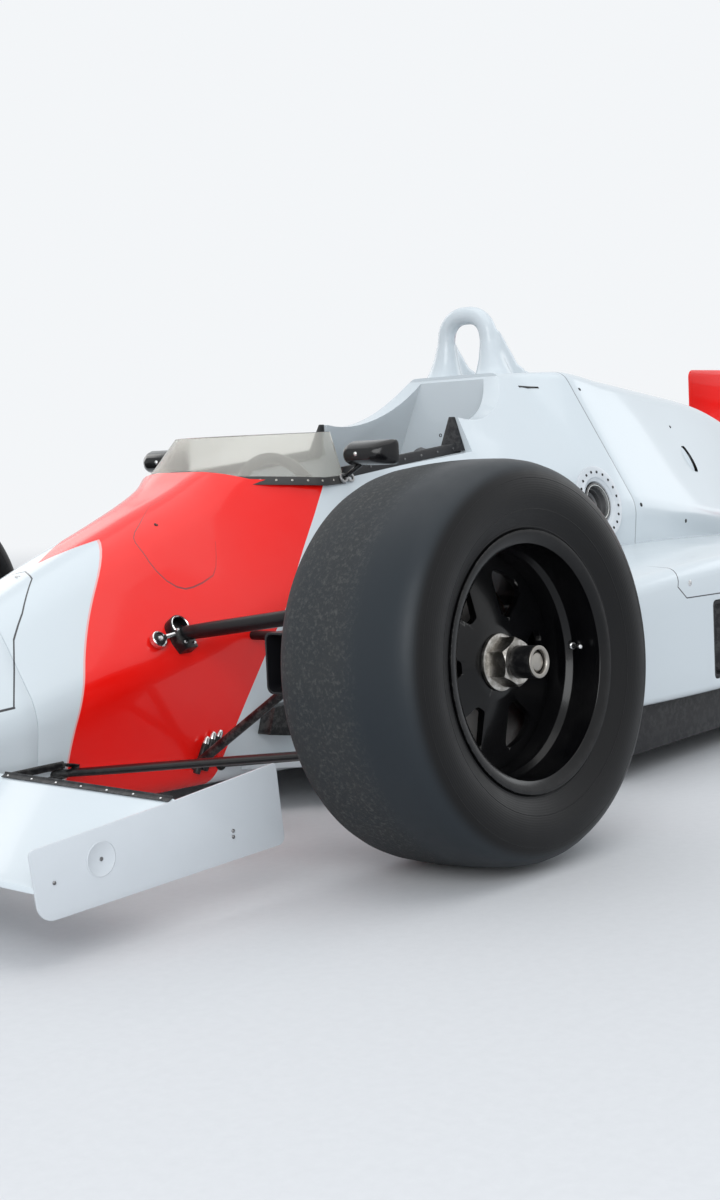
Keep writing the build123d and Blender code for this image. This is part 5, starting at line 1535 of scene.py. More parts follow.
def front_knuckles():
    """Cast uprights with lugs and steering arms, joint pins, calipers and brake scoops."""
    for name, side in SIDES:
        body = f"knuckle_{name}"
        hub = turned_over(WHEELS[0][1], side)
        spin, ahead, up = wheel_points(LEAN, side)
        pin = turned_over(KINGPIN, side)
        middle = turned_over((FRONT_AXLE_X, 0.694, 0.325), side)
        upper, lower = turned_over(UPPER_JOINT, side), turned_over(LOWER_JOINT, side)
        arm = Vector((FRONT_AXLE_X - 0.11, side * 0.694, 0.335))
        cast = [lathe([
            (-0.187, 0), (-0.187, 0.046), (-0.18, 0.0515), (-0.09, 0.0515), (-0.083, 0.046), (-0.083, 0)
        ], hub, spin, 48)]
        cast.append(lathe([
            (0, 0), (0, 0.026), (0.08, 0.0185), (0.0815, 0.017), (0.0815, 0)
        ], middle, pin, 32))
        cast.append(lathe([
            (0, 0), (0, 0.026), (0.137, 0.0185), (0.1385, 0.017), (0.1385, 0)
        ], middle, -pin, 32))
        low_arm = arm - Vector((0, 0, 0.036))
        cast.append(pipe([middle, middle.lerp(low_arm, 0.5), low_arm], 0.0118))
        cast.append(lathe([
            (-0.012, 0), (-0.012, 0.0118), (0.018, 0.0115), (0.019, 0.01), (0.019, 0)
        ], low_arm, (0, 0, 1), 28))
        upright = weld(*cast)
        modify(upright, "REMESH", mode="VOXEL", voxel_size=0.0034, use_smooth_shade=True)
        modify(upright, "SMOOTH", factor=0.6, iterations=4)
        carve(upright, drum(-0.3, -0.05, 0.0308, hub, spin, 48))
        dress(
            upright, f"front_upright_cast_{name}", ALLOY, angle=45,
            stands_for=(f"front_upright_{name}",), body=body
        )
        pins = []
        for joint, way in ((upper, 1), (lower, -1)):
            pins.append(lathe([
                (-0.0145, 0), (-0.0145, 0.0079), (0.0125, 0.0079), (0.0125, 0.0115), (0.0185, 0.0115),
                (0.0185, 0)
            ], joint, pin * way, 6))
        pins.append(lathe([
            (-0.018, 0), (-0.018, 0.0049), (0.0125, 0.0049), (0.0125, 0.0085), (0.0165, 0.0085), (0.0165, 0)
        ], arm, (0, 0, 1), 6))
        dress(pins, f"front_joint_pins_{name}", STEEL, 0.0005, 1, body=body)
        half = []
        inner, outer = 0.116, 0.1715
        arc = [radians(152 + 56 * i / 14) for i in range(15)]
        line = [(outer * cos(a), outer * sin(a)) for a in arc] + [
            (inner * cos(a), inner * sin(a)) for a in reversed(arc)
        ]
        for start, depth in ((-0.084, 0.0175), (-0.027, 0.015)):
            points = [hub + spin * start + ahead * a + up * side * b for a, b in line]
            half.append(slab(points, spin * depth))
        bridge = [(outer * cos(a), outer * sin(a)) for a in arc] + [
            (0.164 * cos(a), 0.164 * sin(a)) for a in reversed(arc)
        ]
        points = [hub + spin * -0.084 + ahead * a + up * side * b for a, b in bridge]
        half.append(slab(points, spin * 0.072))
        caliper = weld(*half)
        dress(caliper, f"brake_caliper_{name}", DARK_ALLOY, 0.003, 3, body=body)
        x, y, z = 1.565, side * 0.612, 0.334
        outer = box_outline(0.074, 0.101, 0.012, 5, 1)
        rings = []
        # Scoop sections, columns: x, size, shift towards the wheel
        for dx, size, shift in [
            (0.0, 1.0, 0.0), (-0.05, 1.0, 0.0), (-0.09, 0.92, 0.004), (-0.12, 0.66, 0.026),
            (-0.16, 0.47, 0.062)
        ]:
            rings.append([Vector((
                x + dx, y + side * shift + p.x * size, z - shift * 0.1 + p.y * size
            )) for p in outer])
        scoop = skin(rings)
        hollow = [Vector((x + 0.01, y + p.x * 0.9, z + p.y * 0.93)) for p in outer]
        carve(scoop, slab(hollow, (-0.085, 0, 0)))
        dress(scoop, f"brake_scoop_{name}", BLACK_PLASTIC, 0.0018, body=body)


# The left nose stay's path, from its front end round the bend and back
NOSE_STAY = [
    (1.905, 0.186, 0.15), (1.8, 0.196, 0.153), (1.7, 0.206, 0.156),
    (1.672, 0.208, 0.15), (1.69, 0.204, 0.138), (1.76, 0.195, 0.128),
]


def front_wing():
    """Front wing blades, their dark trailing strip with its fasteners, the side plates and the stays."""
    arc = three_point_arc((2.172, 0.1135), (2.06, 0.132), (1.917, 0.188), 22)
    under = three_point_arc((1.915, 0.183), (2.07, 0.104), (2.174, 0.1055), 22)
    line = arc + under
    blades = [slab(beside(side * 0.1, line), (0, side * 0.6328, 0)) for side in (1, -1)]
    dress(blades, "front_wing_blades", PAINT_WHITE, 0.0006, angle=50, stands_for=("front_wing",))
    strips, bolts = [], []
    for side in (1, -1):
        # An angle strip: a short flat foot on the blade and a low upright
        foot = [
            (1.918, 0.1885), (1.9262, 0.1848), (1.9266, 0.1857), (1.9198, 0.189), (1.9182, 0.1926),
            (1.9168, 0.1922)
        ]
        strips.append(slab(beside(side * 0.336, foot), (0, side * 0.394, 0)))
        for k in range(7):
            y = side * (0.35 + 0.06 * k)
            bolts.append(bolt((1.9228, y, 0.1874), (0.4, 0, 0.91), 0.002, 0.0016, 10))
    dress(strips, "front_wing_strip", BLACK_PLASTIC, 0.0004, 1)
    dress(bolts, "front_wing_strip_bolts", CHROME, angle=40)
    plate = rounded(
        [(1.712, 0.208), (1.7, 0.081), (2.167, 0.062), (2.179, 0.164), (1.94, 0.184)],
        [0.006, 0.012, 0.028, 0.008, 0.3], 7, 0, True
    )
    plates = [slab(beside(side * 0.731, plate), (0, side * 0.004, 0)) for side in (1, -1)]
    dress(plates, "front_wing_side_plates", PLATE_GREY, 0.001, stands_for=("front_endplates",))
    details, studs = [], []
    for side in (1, -1):
        out = Vector((0, side, 0))
        for x, z in [(2.14, 0.114), (1.808, 0.121), (1.808, 0.112)]:
            studs.append(bolt((x, side * 0.735, z), out, 0.0028, 0.0022, 16))
        details.append(lathe([
            (-0.002, 0), (-0.002, 0.0255), (0.0006, 0.0255), (0.0013, 0.024), (0.0006, 0.0228), (0.0006, 0)
        ], (2.058, side * 0.735, 0.13), out, 48))
        studs.append(bolt((2.058, side * 0.7355, 0.13), out, 0.003, 0.0014, 16))
    dress(details, "side_plate_caps", PLATE_GREY, angle=35)
    dress(studs, "side_plate_bolts", DARK_ALLOY, angle=40)
    brackets = []
    for side in (1, -1):
        for a, b in zip(NOSE_STAY, NOSE_STAY[1:]):
            brackets.append(leg(turned_over(a, side), turned_over(b, side), 0.004, 0.007, 2))
    dress(brackets, "nose_side_stays", LEG_BLACK, angle=40)


def strap(points, width, thick, over):
    """A flat strap along a smooth path; over gives the way its face looks."""
    rings = []
    count = 8 * (len(points) - 1)
    for i in range(count + 1):
        t = i / count * (len(points) - 1)
        k = min(int(t), len(points) - 2)
        f = t - k
        before = points[max(k - 1, 0)]
        a, b = points[k], points[k + 1]
        after = points[min(k + 2, len(points) - 1)]
        bend, twist = 2 * before - 5 * a + 4 * b - after, 3 * a - before - 3 * b + after
        ahead = ((b - before) + bend * 2 * f + twist * 3 * f * f).normalized()
        place = 0.5 * ((2 * a) + (b - before) * f + bend * f * f + twist * f ** 3)
        side = ahead.cross(over).normalized()
        up = side.cross(ahead).normalized()
        rings.append([
            place + side * width / 2, place + side * width / 2 + up * thick, place + up * thick * 1.35,
            place - side * width / 2 + up * thick, place - side * width / 2
        ])
    return skin(rings)


SEAT_HALF = 0.165
SEAT_LINE = [(0.95, 0.112), (0.72, 0.124), (0.606, 0.16), (0.43, 0.47), (0.404, 0.64)]
SEAT_BACK = [(0.384, 0.64), (0.408, 0.465), (0.584, 0.14), (0.712, 0.104), (0.95, 0.09)]
STRAP_WIDE = 0.05
STRAP_THICK = 0.0022
# Middle lines of the left straps, from their outer end to the buckle
SHOULDER_STRAP = [
    (0.372, 0.052, 0.662), (0.402, 0.056, 0.655), (0.424, 0.06, 0.6), (0.45, 0.062, 0.48),
    (0.53, 0.058, 0.345), (0.632, 0.03, 0.2), (0.668, 0.012, 0.172),
]
LAP_STRAP = [(0.6, 0.146, 0.215), (0.612, 0.11, 0.196), (0.645, 0.06, 0.176), (0.672, 0.018, 0.17)]
CROTCH_STRAP = [(0.765, 0, 0.13), (0.735, 0, 0.134), (0.7, 0, 0.15), (0.68, 0, 0.166)]


def seat():
    """Moulded seat shell with rolled edges, covered in cloth, and its harness."""
    inner = rounded(SEAT_LINE, [0.2, 0.09, 0.25], 6, 4)
    outer = rounded(SEAT_BACK, [0.25, 0.09, 0.2], 6, 4)
    outer.reverse()
    rise = []
    for k, point in enumerate(inner):
        t = k / (len(inner) - 1)
        rise.append(
            0.085 if t < 0.45 else 0.085 + 0.06 * sin(pi * min((t - 0.45) / 0.45, 1.0)) if t < 0.9 else 0.05
        )
    rings = []
    for k in range(len(inner)):
        a = inner[k]
        b = outer[min(round(k * (len(outer) - 1) / (len(inner) - 1)), len(outer) - 1)]
        up = (a - b).normalized()
        section = []
        for y, high in [
            (-SEAT_HALF + 0.002, 1.0), (-SEAT_HALF + 0.011, 1.0), (-SEAT_HALF + 0.026, 0.3),
            (-SEAT_HALF + 0.06, 0.05), (-0.05, 0.0), (0.05, 0.0), (SEAT_HALF - 0.06, 0.05),
            (SEAT_HALF - 0.026, 0.3), (SEAT_HALF - 0.011, 1.0), (SEAT_HALF - 0.002, 1.0)
        ]:
            p = a + up * rise[k] * high * 0.9
            section.append(Vector((p.x, y, p.y)))
        for y in (SEAT_HALF - 0.002, -SEAT_HALF + 0.002):
            section.append(Vector((b.x, y, b.y)))
        rings.append(section)
    shell = skin(rings)
    modify(shell, "SUBSURF", levels=1, render_levels=1)
    dress(shell, "seat_shell", SEAT_CLOTH, angle=50, stands_for=("seat",))

    straps, metal = [], []
    for side in (1, -1):
        shoulder = [turned_over(point, side) for point in SHOULDER_STRAP]
        straps.append(strap(shoulder, STRAP_WIDE, STRAP_THICK, Vector((1, 0, 0.4))))
        lap = [turned_over(point, side) for point in LAP_STRAP]
        straps.append(strap(lap, STRAP_WIDE, STRAP_THICK, Vector((0.5, 0, 1))))
        spot = Vector((0.462, side * 0.0615, 0.462))
        adjuster = [spot + Vector(v) for v in (
            (0.004, -0.031, -0.016), (0.004, 0.031, -0.016), (-0.008, 0.031, 0.018), (-0.008, -0.031, 0.018)
        )]
        metal.append(slab(adjuster, Vector((0.0045, 0, 0.003))))
    crotch = [Vector(point) for point in CROTCH_STRAP]
    straps.append(strap(crotch, 0.9 * STRAP_WIDE, STRAP_THICK, Vector((0, 0, 1))))
    dress(straps, "harness_straps", WEBBING, angle=50)
    metal.append(lathe([
        (0, 0), (0, 0.026), (0.01, 0.026), (0.013, 0.022), (0.013, 0.012), (0.017, 0.01), (0.017, 0)
    ], Vector((0.674, 0, 0.17)), (0.45, 0, 0.9), 32))
    dress(metal, "harness_buckles", STEEL, 0.001)


def steering_wheel():
    """Three spoke wheel: suede grip, drilled plate, bolts, boss and the column."""
    hub = Vector((0.93, 0, 0.545))
    axis = Vector((cos(radians(14)), 0, -sin(radians(14))))
    up = Vector((0, 1, 0)).cross(axis).normalized()
    if up.z < 0:
        up = -up
    grip = lathe([(0.0118 * sin(turn), 0.122 + 0.0118 * cos(turn)) for turn in turns(20)], hub, axis, 96)
    dress(
        grip, "steering_grip", SUEDE, angle=60, stands_for=("steering_wheel",),
        body="steering_wheel"
    )
    plate = []
    for turn in (0, pi, -pi / 2):
        out = Vector((0, 1, 0)) * cos(turn) + up * sin(turn)
        wide = axis.cross(out)
        points = [hub - axis * 0.003 + out * r + wide * w for r, w in (
            (0.02, -0.02), (0.075, -0.0115), (0.118, -0.0125), (0.118, 0.0125), (0.075, 0.0115), (0.02, 0.02)
        )]
        spoke = slab(points, axis * 0.0055)
        for r in (0.06, 0.078, 0.096):
            carve(spoke, drum(-0.02, 0.02, 0.0052, hub + out * r, axis, 20))
        plate.append(spoke)
    plate.append(drum(-0.0032, 0.0027, 0.033, hub, axis, 48))
    dress(plate, "steering_spokes", DARK_ALLOY, 0.0007, body="steering_wheel")
    boss = lathe([
        (-0.02, 0), (-0.02, 0.013), (-0.016, 0.018), (-0.006, 0.02), (0.01, 0.02), (0.014, 0.0108),
        (0.12, 0.0108), (0.12, 0)
    ], hub, axis, 40)
    dress(boss, "steering_boss", BLACK_PLASTIC, 0.0008, body="steering_wheel")
    bolts = []
    for turn in turns(6, pi / 6):
        bolts.append(bolt(
            hub - axis * 0.003 + (Vector((0, 1, 0)) * cos(turn) + up * sin(turn)) * 0.0265, -axis, 0.0034,
            0.0032, 6
        ))
    dress(bolts, "steering_bolts", CHROME, angle=40, body="steering_wheel")


def dashboard():
    """Dash board with three dials: bezels, plain marks and needles."""
    smooth_node("dashboard", BLACK_PLASTIC, rounding=0.002)
    bezels, faces, marks = [], [], []
    back = Vector((-1, 0, 0))
    for y, z in [(-0.078, 0.585), (0.0, 0.591), (0.078, 0.585)]:
        middle = Vector((1.02, y, z))
        bezels.append(lathe([
            (0.0002, 0.0205), (0.0002, 0.0238), (0.003, 0.0238), (0.0042, 0.0225), (0.003, 0.0205)
        ], middle, back, 48))
        faces.append(drum(0.0002, 0.0012, 0.0208, middle, back, 40))
        for k in range(11):
            turn = radians(225 - 27 * k)
            out = Vector((0, -cos(turn), sin(turn)))
            wide = out.cross(back) * 0.0005
            marks.append(slab([
                middle + back * 0.0011 + out * r + wide * w
                for r, w in ((0.0155, -1), (0.019, -1), (0.019, 1), (0.0155, 1))
            ], back * 0.0006))
        turn = radians(150)
        out = Vector((0, -cos(turn), sin(turn)))
        wide = out.cross(back) * 0.0008
        marks.append(slab([
            middle + back * 0.0018 + out * r + wide * w
            for r, w in ((-0.004, -1), (0.015, -0.4), (0.015, 0.4), (-0.004, 1))
        ], back * 0.0006))
    dress(bezels, "dial_bezels", CHROME, angle=40)
    dress(faces, "dial_faces", DIAL_FACE, angle=40)
    dress(marks, "dial_marks", MARK_WHITE, angle=40)
    switches = []
    for y in (-0.15, -0.125, 0.125, 0.15):
        switches.append(lathe([
            (0, 0), (0, 0.007), (0.003, 0.006), (0.003, 0.0025), (0.014, 0.002), (0.0155, 0)
        ], Vector((1.0242, y, 0.59)), back, 16))
    dress(switches, "dash_switches", MACHINED, angle=40)
    lever = pipe([
        Vector((0.83, -0.196, 0.3)), Vector((0.834, -0.198, 0.36)), Vector((0.822, -0.2, 0.42))
    ], 0.0055)
    knob = lathe(
        [(0.0, 0)] + [(
            0.017 - 0.017 * cos(pi * k / 10), 0.0165 * sin(pi * k / 10)
        ) for k in range(1, 10)] + [(0.034, 0)],
        Vector((0.8226, -0.2, 0.412)), (-0.18, 0, 1), 28
    )
    base = slab([
        Vector((x, -0.178, z)) for x, z in ((0.78, 0.285), (0.88, 0.285), (0.88, 0.33), (0.78, 0.33))
    ], (0, -0.06, 0))
    dress([lever, base], "gear_lever", DARK_ALLOY, 0.0015)
    dress(knob, "gear_knob", BLACK_GLOSS, angle=50)


def cooling():
    """Radiator cores with their end tanks, the underbody and the pale shelves."""
    smooth_node("radiators", CORE)
    tanks = []
    for side in (1, -1):
        for x, y in [(0.62, 0.4075), (0.45, 0.6775)]:
            tanks.append(lathe(
                [(0, 0), (0, 0.027), (0.232, 0.027), (0.238, 0.02), (0.238, 0)], Vector((x, side * y, 0.152)),
                (0, 0, 1), 32
            ))
    dress(tanks, "radiator_tanks", ALLOY, 0.001)
    smooth_node("underbody", BLACK_PLASTIC, rounding=0.0012)
    smooth_node("floor_shelves", PAINT_WHITE, rounding=0.0025)


def slit_duct():
    """The upright slit on each side of the engine cover: a low swelling ahead of it and a black plate of painted
    shade in its mouth.
    """
    lips, dark = [], []
    for side in (1, -1):
        rings, shade_plate_rings = [], []
        for i in range(13):
            t = i / 12
            place, out = body_at(-0.256, 0.645 - 0.064 * t, side)
            swell = 0.0085 * sin(pi * t) ** 0.6 if 0 < i < 12 else 0.0
            front = [
                place + Vector((0.004 + 0.034 * k / 6, 0, 0)) + out * (swell * cos(pi * k / 12) ** 2 - 0.0008)
                for k in range(7)
            ]
            rings.append(front + [
                place + Vector((0.038, 0, 0)) - out * 0.004, place + Vector((0.006, 0, 0)) - out * 0.004
            ])
            # The mouth is a black plate on the surface: painted shade inside the slit
            half = 0.0085 * sin(pi * (0.06 + 0.88 * t)) ** 0.4
            shade_plate_rings.append([
                place + Vector((half, 0, 0)) + out * (swell + 0.0006),
                place + Vector((-1.8 * half, 0, 0)) + out * 0.001,
                place + Vector((-1.8 * half, 0, 0)) - out * 0.003, place + Vector((half, 0, 0)) - out * 0.003
            ])
        lips.append(skin(rings))
        dark.append(skin(shade_plate_rings))
    dress(lips, "cover_slit_lips", PAINT_WHITE, angle=60)
    dress(dark, "cover_slit_shade_plates", SHADOW_BLACK, angle=40)


def drive_train():
    """Engine block, gearbox with ribs and bolts, the tail pipe with its rolled lip and clamp, and a rear lamp."""
    smooth_node("engine", ALLOY, rounding=0.006)
    smooth_node("gearbox", DARK_ALLOY, rounding=0.006)
    ribs, bolts = [], []
    # Gearbox sections, columns: x, width, height of the middle, height
    box = [
        (-0.5, 0.3, 0.32, 0.33), (-0.9, 0.23, 0.3, 0.3), (-1.3, 0.19, 0.3, 0.27), (-1.64, 0.17, 0.29, 0.24)
    ]

    def section(x):
        (x0, *a), (x1, *b) = next(pair for pair in zip(box, box[1:]) if pair[1][0] <= x <= pair[0][0])
        t = (x - x0) / (x1 - x0)
        return [p + (q - p) * t for p, q in zip(a, b)]

    for x in (-0.52, -0.905, -1.12, -1.31, -1.622):
        width, middle, height = section(x)
        line = [Vector((0, middle)) + p for p in box_outline(width + 0.026, height + 0.026, 0.03, 5)]
        ribs.append(slab(across(x + 0.007, line), (-0.014, 0, 0)))
        for k in range(16):
            point = line[round(k * len(line) / 16) % len(line)]
            spot = Vector((x - 0.007, point.x * 0.955, middle + (point.y - middle) * 0.955))
            bolts.append(bolt(spot, (-1, 0, 0), 0.0048, 0.005, 6))
    for side in (1, -1):
        for z in (0.0, 0.055):
            line = []
            for x, width, middle, height in box[1:3]:
                line.append((x, width / 2, middle + z - 0.03))
            (xa, ya, za), (xb, yb, zb) = line
            points = [
                Vector((xa, side * (ya - 0.01), za)), Vector((xb, side * (yb - 0.01), zb)),
                Vector((xb, side * (yb + 0.008), zb)), Vector((xa, side * (ya + 0.008), za))
            ]
            ribs.append(slab(points, (0, 0, 0.007)))
        ribs.append(lathe(
            [(0.098, 0), (0.098, 0.072), (0.104, 0.07), (0.1042, 0.05), (0.1042, 0)],
            Vector((REAR_AXLE_X, 0, 0.343)), (0, side, 0), 40
        ))
    dress(ribs, "gearbox_ribs", DARK_ALLOY, 0.0016)
    dress(bolts, "gearbox_bolts", STEEL, angle=40)
    start, way = Vector((-0.96, 0, 0.476)), Vector((-0.96, 0, 0.12)).normalized()
    pipe_line = [
        (0.0, 0.0422), (0.0, 0.045), (0.326, 0.045), (0.3295, 0.0462), (0.3318, 0.045), (0.3318, 0.043),
        (0.329, 0.042)
    ]
    dress(
        lathe(pipe_line, start, way, 64), "tail_pipe", PIPE, angle=35, stands_for=("exhaust",)
    )
    clamp = [tube(at, at + 0.012, 0.0448, 0.0482, start, way, 48) for at in (0.05, 0.24)]
    dress(clamp, "tail_pipe_clamps", STEEL, 0.0008)
    lamp = slab([Vector((-1.642, p.x, 0.3 + p.y)) for p in box_outline(0.1, 0.06, 0.012, 5)], (-0.026, 0, 0))
    dress(lamp, "rear_lamp_housing", BLACK_PLASTIC, 0.002)
    lens = slab([
        Vector((-1.6675, p.x, 0.3 + p.y)) for p in box_outline(0.088, 0.048, 0.01, 5)
    ], (-0.006, 0, 0))
    dress(lens, "rear_lamp_lens", LAMP_RED, 0.003, 3)


REAR_UPPER = Vector((REAR_AXLE_X, 0.636, 0.478))
REAR_LOWER = Vector((REAR_AXLE_X, 0.644, 0.2))


def rear_suspension():
    """Rear uprights, oval wishbones with their collars, and coil spring dampers."""
    for name, side in SIDES:
        hub = turned_over(WHEELS[1][1], side)
        out = Vector((0, side, 0))
        upper, lower = turned_over(REAR_UPPER, side), turned_over(REAR_LOWER, side)
        cast = [lathe([
            (-0.171, 0), (-0.171, 0.046), (-0.164, 0.0515), (-0.07, 0.0515), (-0.063, 0.046), (-0.063, 0)
        ], hub, out, 48)]
        for joint in (upper, lower):
            root = Vector((REAR_AXLE_X, joint.y + side * 0.012, hub.z))
            cast.append(pipe([root, root.lerp(joint, 0.5), joint], 0.0195))
            cast.append(lathe([(
                -0.022 * cos(pi * k / 10), 0.0218 * sin(pi * k / 10)
            ) for k in range(11)], joint, (1, 0, 0), 28))
        upright = weld(*cast)
        modify(upright, "REMESH", mode="VOXEL", voxel_size=0.0036, use_smooth_shade=True)
        modify(upright, "SMOOTH", factor=0.6, iterations=5)
        carve(upright, drum(-0.3, 0.05, 0.0308, hub, out, 48))
        dress(
            upright, f"rear_upright_cast_{name}", ALLOY, angle=45,
            stands_for=(f"rear_suspension_{name}",)
        )
        legs = []
        for joint, *feet in (
            (upper, (-1.25, 0.07, 0.425), (-1.61, 0.06, 0.392)),
            (lower, (-1.2, 0.07, 0.2), (-1.62, 0.06, 0.2))
        ):
            for foot in feet:
                foot = turned_over(foot, side)
                legs.append(leg(foot, joint, 0.0115, 0.0085))
                legs.append(lathe([
                    (-0.004, 0), (-0.004, 0.013), (0.022, 0.0115), (0.026, 0.009), (0.026, 0)
                ], foot, joint - foot, 24))
        dress(legs, f"rear_legs_{name}", LEG_BLACK, 0.0006, 1, angle=40)
        top = turned_over((-1.18, 0.06, 0.42), side)
        foot = lower - Vector((0, side * 0.03, 0))
        way = (foot - top).normalized()
        reach = (foot - top).length
        damper = [
            drum(0.0, reach, 0.0075, top, way, 24),
            lathe([
                (0.03, 0), (0.03, 0.0225), (0.034, 0.024), (0.19, 0.024), (0.194, 0.018), (0.194, 0)
            ], top, way, 36),
            tube(0.036, 0.042, 0.02, 0.0385, top, way, 36), tube(0.29, 0.296, 0.006, 0.0365, top, way, 36)
        ]
        dress(damper, f"damper_{name}", MACHINED, 0.0008)
        out_way = way.orthogonal().normalized()
        over = way.cross(out_way)
        loops, steps = 7, 24
        coil = []
        for k in range(loops * steps + 1):
            turn = 2 * pi * k / steps
            along = 0.046 + (0.286 - 0.046) * k / (loops * steps)
            coil.append(top + way * along + (out_way * cos(turn) + over * sin(turn)) * 0.032)
        dress(pipe(coil, 0.0045, 3, True, 2), f"coil_spring_{name}", SPRING, angle=60)


def rear_wings():
    """Rear blades, side plates with their bolts, the trailing lip and the posts."""
    blades = {
        "rear_wing": (
            [(-1.65, 0.7), (-1.89, 0.698), (-2.12, 0.76)], [(-2.122, 0.752), (-1.88, 0.652), (-1.652, 0.678)]
        ),
        "rear_flap": (
            [(-2.132, 0.778), (-2.27, 0.812), (-2.39, 0.872)],
            [(-2.394, 0.866), (-2.26, 0.78), (-2.136, 0.756)]
        )
    }
    for node, (top, under) in blades.items():
        over, below = three_point_arc(*top, 24), three_point_arc(*under, 24)
        nose_from, nose_to = below[-1], over[0]
        middle = (nose_from + nose_to) / 2
        half = (nose_to - nose_from) / 2
        round_nose = [
            middle - half * cos(pi * k / 8) + Vector((0.01 * sin(pi * k / 8), 0)) for k in range(1, 8)
        ]
        line = over + below + round_nose
        dress(
            slab(beside(-0.5445, line), (0, 1.089, 0)), f"{node}_blade", PAINT_RED, angle=30,
            stands_for=(node,)
        )
    lip = [(-2.3885, 0.868), (-2.393, 0.868), (-2.3955, 0.884), (-2.3925, 0.884)]
    dress(slab(beside(-0.5445, lip), (0, 1.089, 0)), "rear_flap_lip", BLACK_PLASTIC, 0.0006, 1)
    plate = rounded([
        (-1.593, 0.889), (-1.593, 0.64), (-1.76, 0.56), (-2.425, 0.56), (-2.425, 0.889)
    ], [0.024, 0.04, 0.03, 0.02, 0.02], 7, 0, True)
    plates = [slab(beside(side * 0.545, plate), (0, side * 0.006, 0)) for side in (1, -1)]
    dress(plates, "rear_side_plates", PAINT_RED, 0.0014, stands_for=("rear_endplates",))
    bolts = []
    for side in (1, -1):
        for x, z in [
            (-1.7, 0.69), (-1.88, 0.68), (-2.06, 0.722), (-2.17, 0.782), (-2.27, 0.805), (-2.35, 0.845)
        ]:
            bolts.append(bolt((x, side * 0.551, z), (0, side, 0), 0.0052, 0.0028, 12))
    dress(bolts, "rear_side_plate_bolts", CHROME, angle=40)
    smooth_node("wing_post", ALLOY, rounding=0.0012)
    bolts = []
    for y in (-0.05, 0.05):
        for x, z in [(-1.52, 0.395), (-1.6, 0.395), (-1.76, 0.66), (-1.84, 0.664), (-1.9, 0.668)]:
            bolts.append(bolt((x, y, z), (0, 1 if y > 0 else -1, 0), 0.0055, 0.004, 6))
    dress(bolts, "wing_post_bolts", STEEL, angle=40)


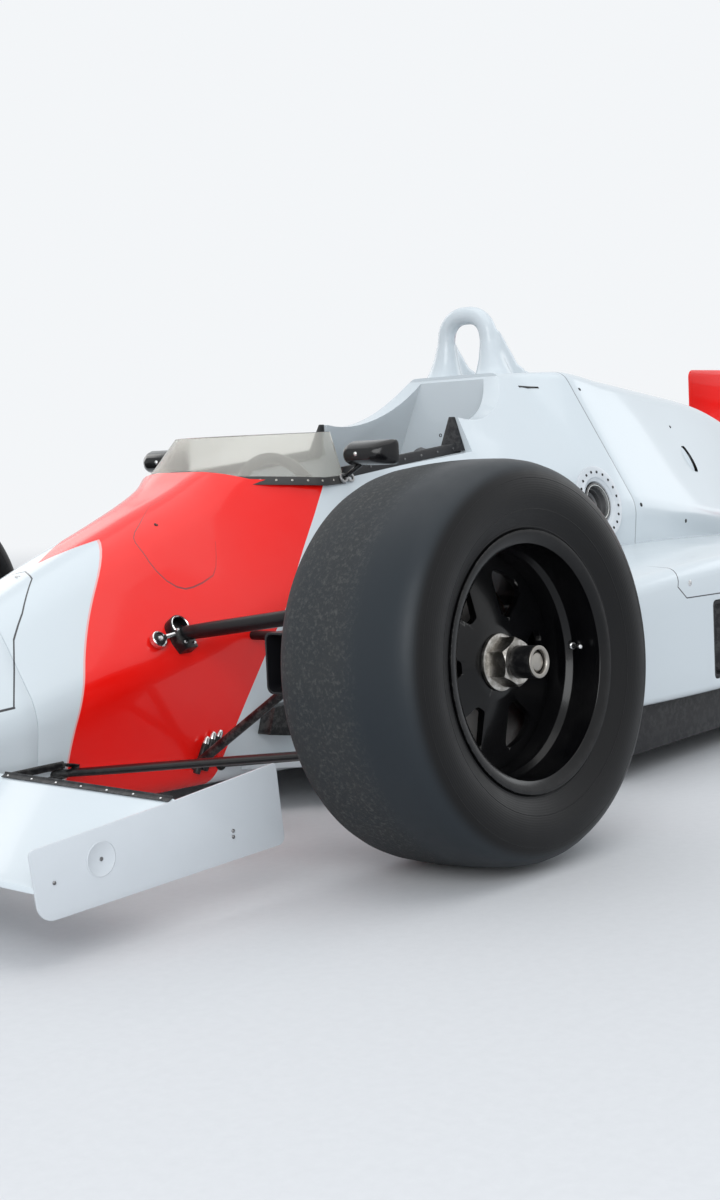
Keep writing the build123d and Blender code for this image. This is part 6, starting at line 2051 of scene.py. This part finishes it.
def stage():
    """Floor, soft lights, a white surround and the photograph's camera."""
    deselect()
    bpy.ops.mesh.primitive_plane_add(size=60, location=(0, 0, 0))
    floor = bpy.context.object
    floor.name = "floor"
    shader = Finish("pale_floor", (0.62, 0.62, 0.63), 0.75)
    grit = shader.noise(shader.place(), 60.0, 4.0, 0.6)
    place = shader.place()
    shader.feed("Base Color", shader.blend(grit, (0.6, 0.6, 0.61), (0.66, 0.66, 0.67)))
    # Far from the car the floor is as bright as the surround, for the camera and for what it is mirrored in
    far = shader.ramp(shader.vector("LENGTH", place, (0, 0, 0), "Value"), 4.0, 11.0)
    tree = shader.tree
    path = tree.nodes.new("ShaderNodeLightPath")
    seen = shader.math("MAXIMUM", path.outputs["Is Camera Ray"], path.outputs["Is Glossy Ray"])
    glow = tree.nodes.new("ShaderNodeEmission")
    glow.inputs["Color"].default_value = (0.9, 0.92, 0.94, 1)
    mix = tree.nodes.new("ShaderNodeMixShader")
    tree.links.new(shader.times(far, seen), mix.inputs[0])
    tree.links.new(shader.bsdf.outputs[0], mix.inputs[1])
    tree.links.new(glow.outputs[0], mix.inputs[2])
    tree.links.new(mix.outputs[0], tree.nodes["Material Output"].inputs[0])
    floor.data.materials.append(shader.material)

    world = bpy.data.worlds.new("surround")
    bpy.context.scene.world = world
    world.use_nodes = True
    tree = world.node_tree
    light = tree.nodes["Background"]
    light.inputs["Color"].default_value = (0.86, 0.93, 1.0, 1)
    light.inputs["Strength"].default_value = 0.8
    seen = tree.nodes.new("ShaderNodeBackground")
    seen.inputs["Color"].default_value = (0.9, 0.92, 0.94, 1)
    seen.inputs["Strength"].default_value = 1.0
    path = tree.nodes.new("ShaderNodeLightPath")
    either = path.outputs["Is Camera Ray"]
    for ray in ("Is Glossy Ray", "Is Transmission Ray"):
        add = tree.nodes.new("ShaderNodeMath")
        add.operation = "MAXIMUM"
        tree.links.new(either, add.inputs[0])
        tree.links.new(path.outputs[ray], add.inputs[1])
        either = add.outputs[0]
    mix = tree.nodes.new("ShaderNodeMixShader")
    tree.links.new(either, mix.inputs[0])
    tree.links.new(light.outputs[0], mix.inputs[1])
    tree.links.new(seen.outputs[0], mix.inputs[2])
    tree.links.new(mix.outputs[0], tree.nodes["World Output"].inputs[0])

    # Lamps, columns: name, place, size, watts, colour
    lamps = [
        ("overhead", (0.5, 0.6, 5.2), 5.5, 80, (1.0, 0.98, 0.95)),
        ("front_left", (5.5, 4.0, 2.6), 3.5, 165, (0.97, 0.99, 1.0)),
        ("right", (0.0, -6.0, 3.0), 4.0, 60, (1.0, 0.97, 0.93)),
        ("behind", (-6.0, 2.0, 3.0), 3.5, 50, (0.95, 0.98, 1.0)),
    ]
    for name, place, size, watts, color in lamps:
        data = bpy.data.lights.new(name, "AREA")
        data.size = size
        data.energy = watts
        data.color = color
        lamp = bpy.data.objects.new(name, data)
        bpy.context.collection.objects.link(lamp)
        lamp.location = place
        lamp.rotation_euler = (Vector((0, 0, 0.4)) - Vector(place)).to_track_quat("-Z", "Y").to_euler()

    data = bpy.data.cameras.new("camera")
    data.sensor_width = 36
    data.lens = LENS_MM
    data.clip_end = 100
    camera = bpy.data.objects.new("camera", data)
    bpy.context.collection.objects.link(camera)
    turn = Matrix((CAMERA_RIGHT, CAMERA_UP, [-a for a in CAMERA_AHEAD])).transposed()
    camera.matrix_world = Matrix.Translation(CAMERA_PLACE) @ turn.to_4x4()
    bpy.context.scene.camera = camera
    bpy.context.scene.view_settings.view_transform = "Standard"


body_core = hull(NOSE_JOINT_X, COVER_END_X, 0.0, 0.062)
nose_panel()
tub_panel()
cover_panel()
sidepods(body_core)
bpy.data.objects.remove(body_core)
roll_hoop()
hoop_webs_on_cover()
slit_duct()
body_fasteners()
windscreen()
cockpit_edge()
mirror_pair()
fuel_filler()
wheels()
front_suspension()
front_knuckles()
smooth_node("track_rods", LEG_BLACK, "steering_rack", 40)
front_wing()
seat()
steering_wheel()
dashboard()
cooling()
drive_train()
rear_suspension()
rear_wings()
stage()
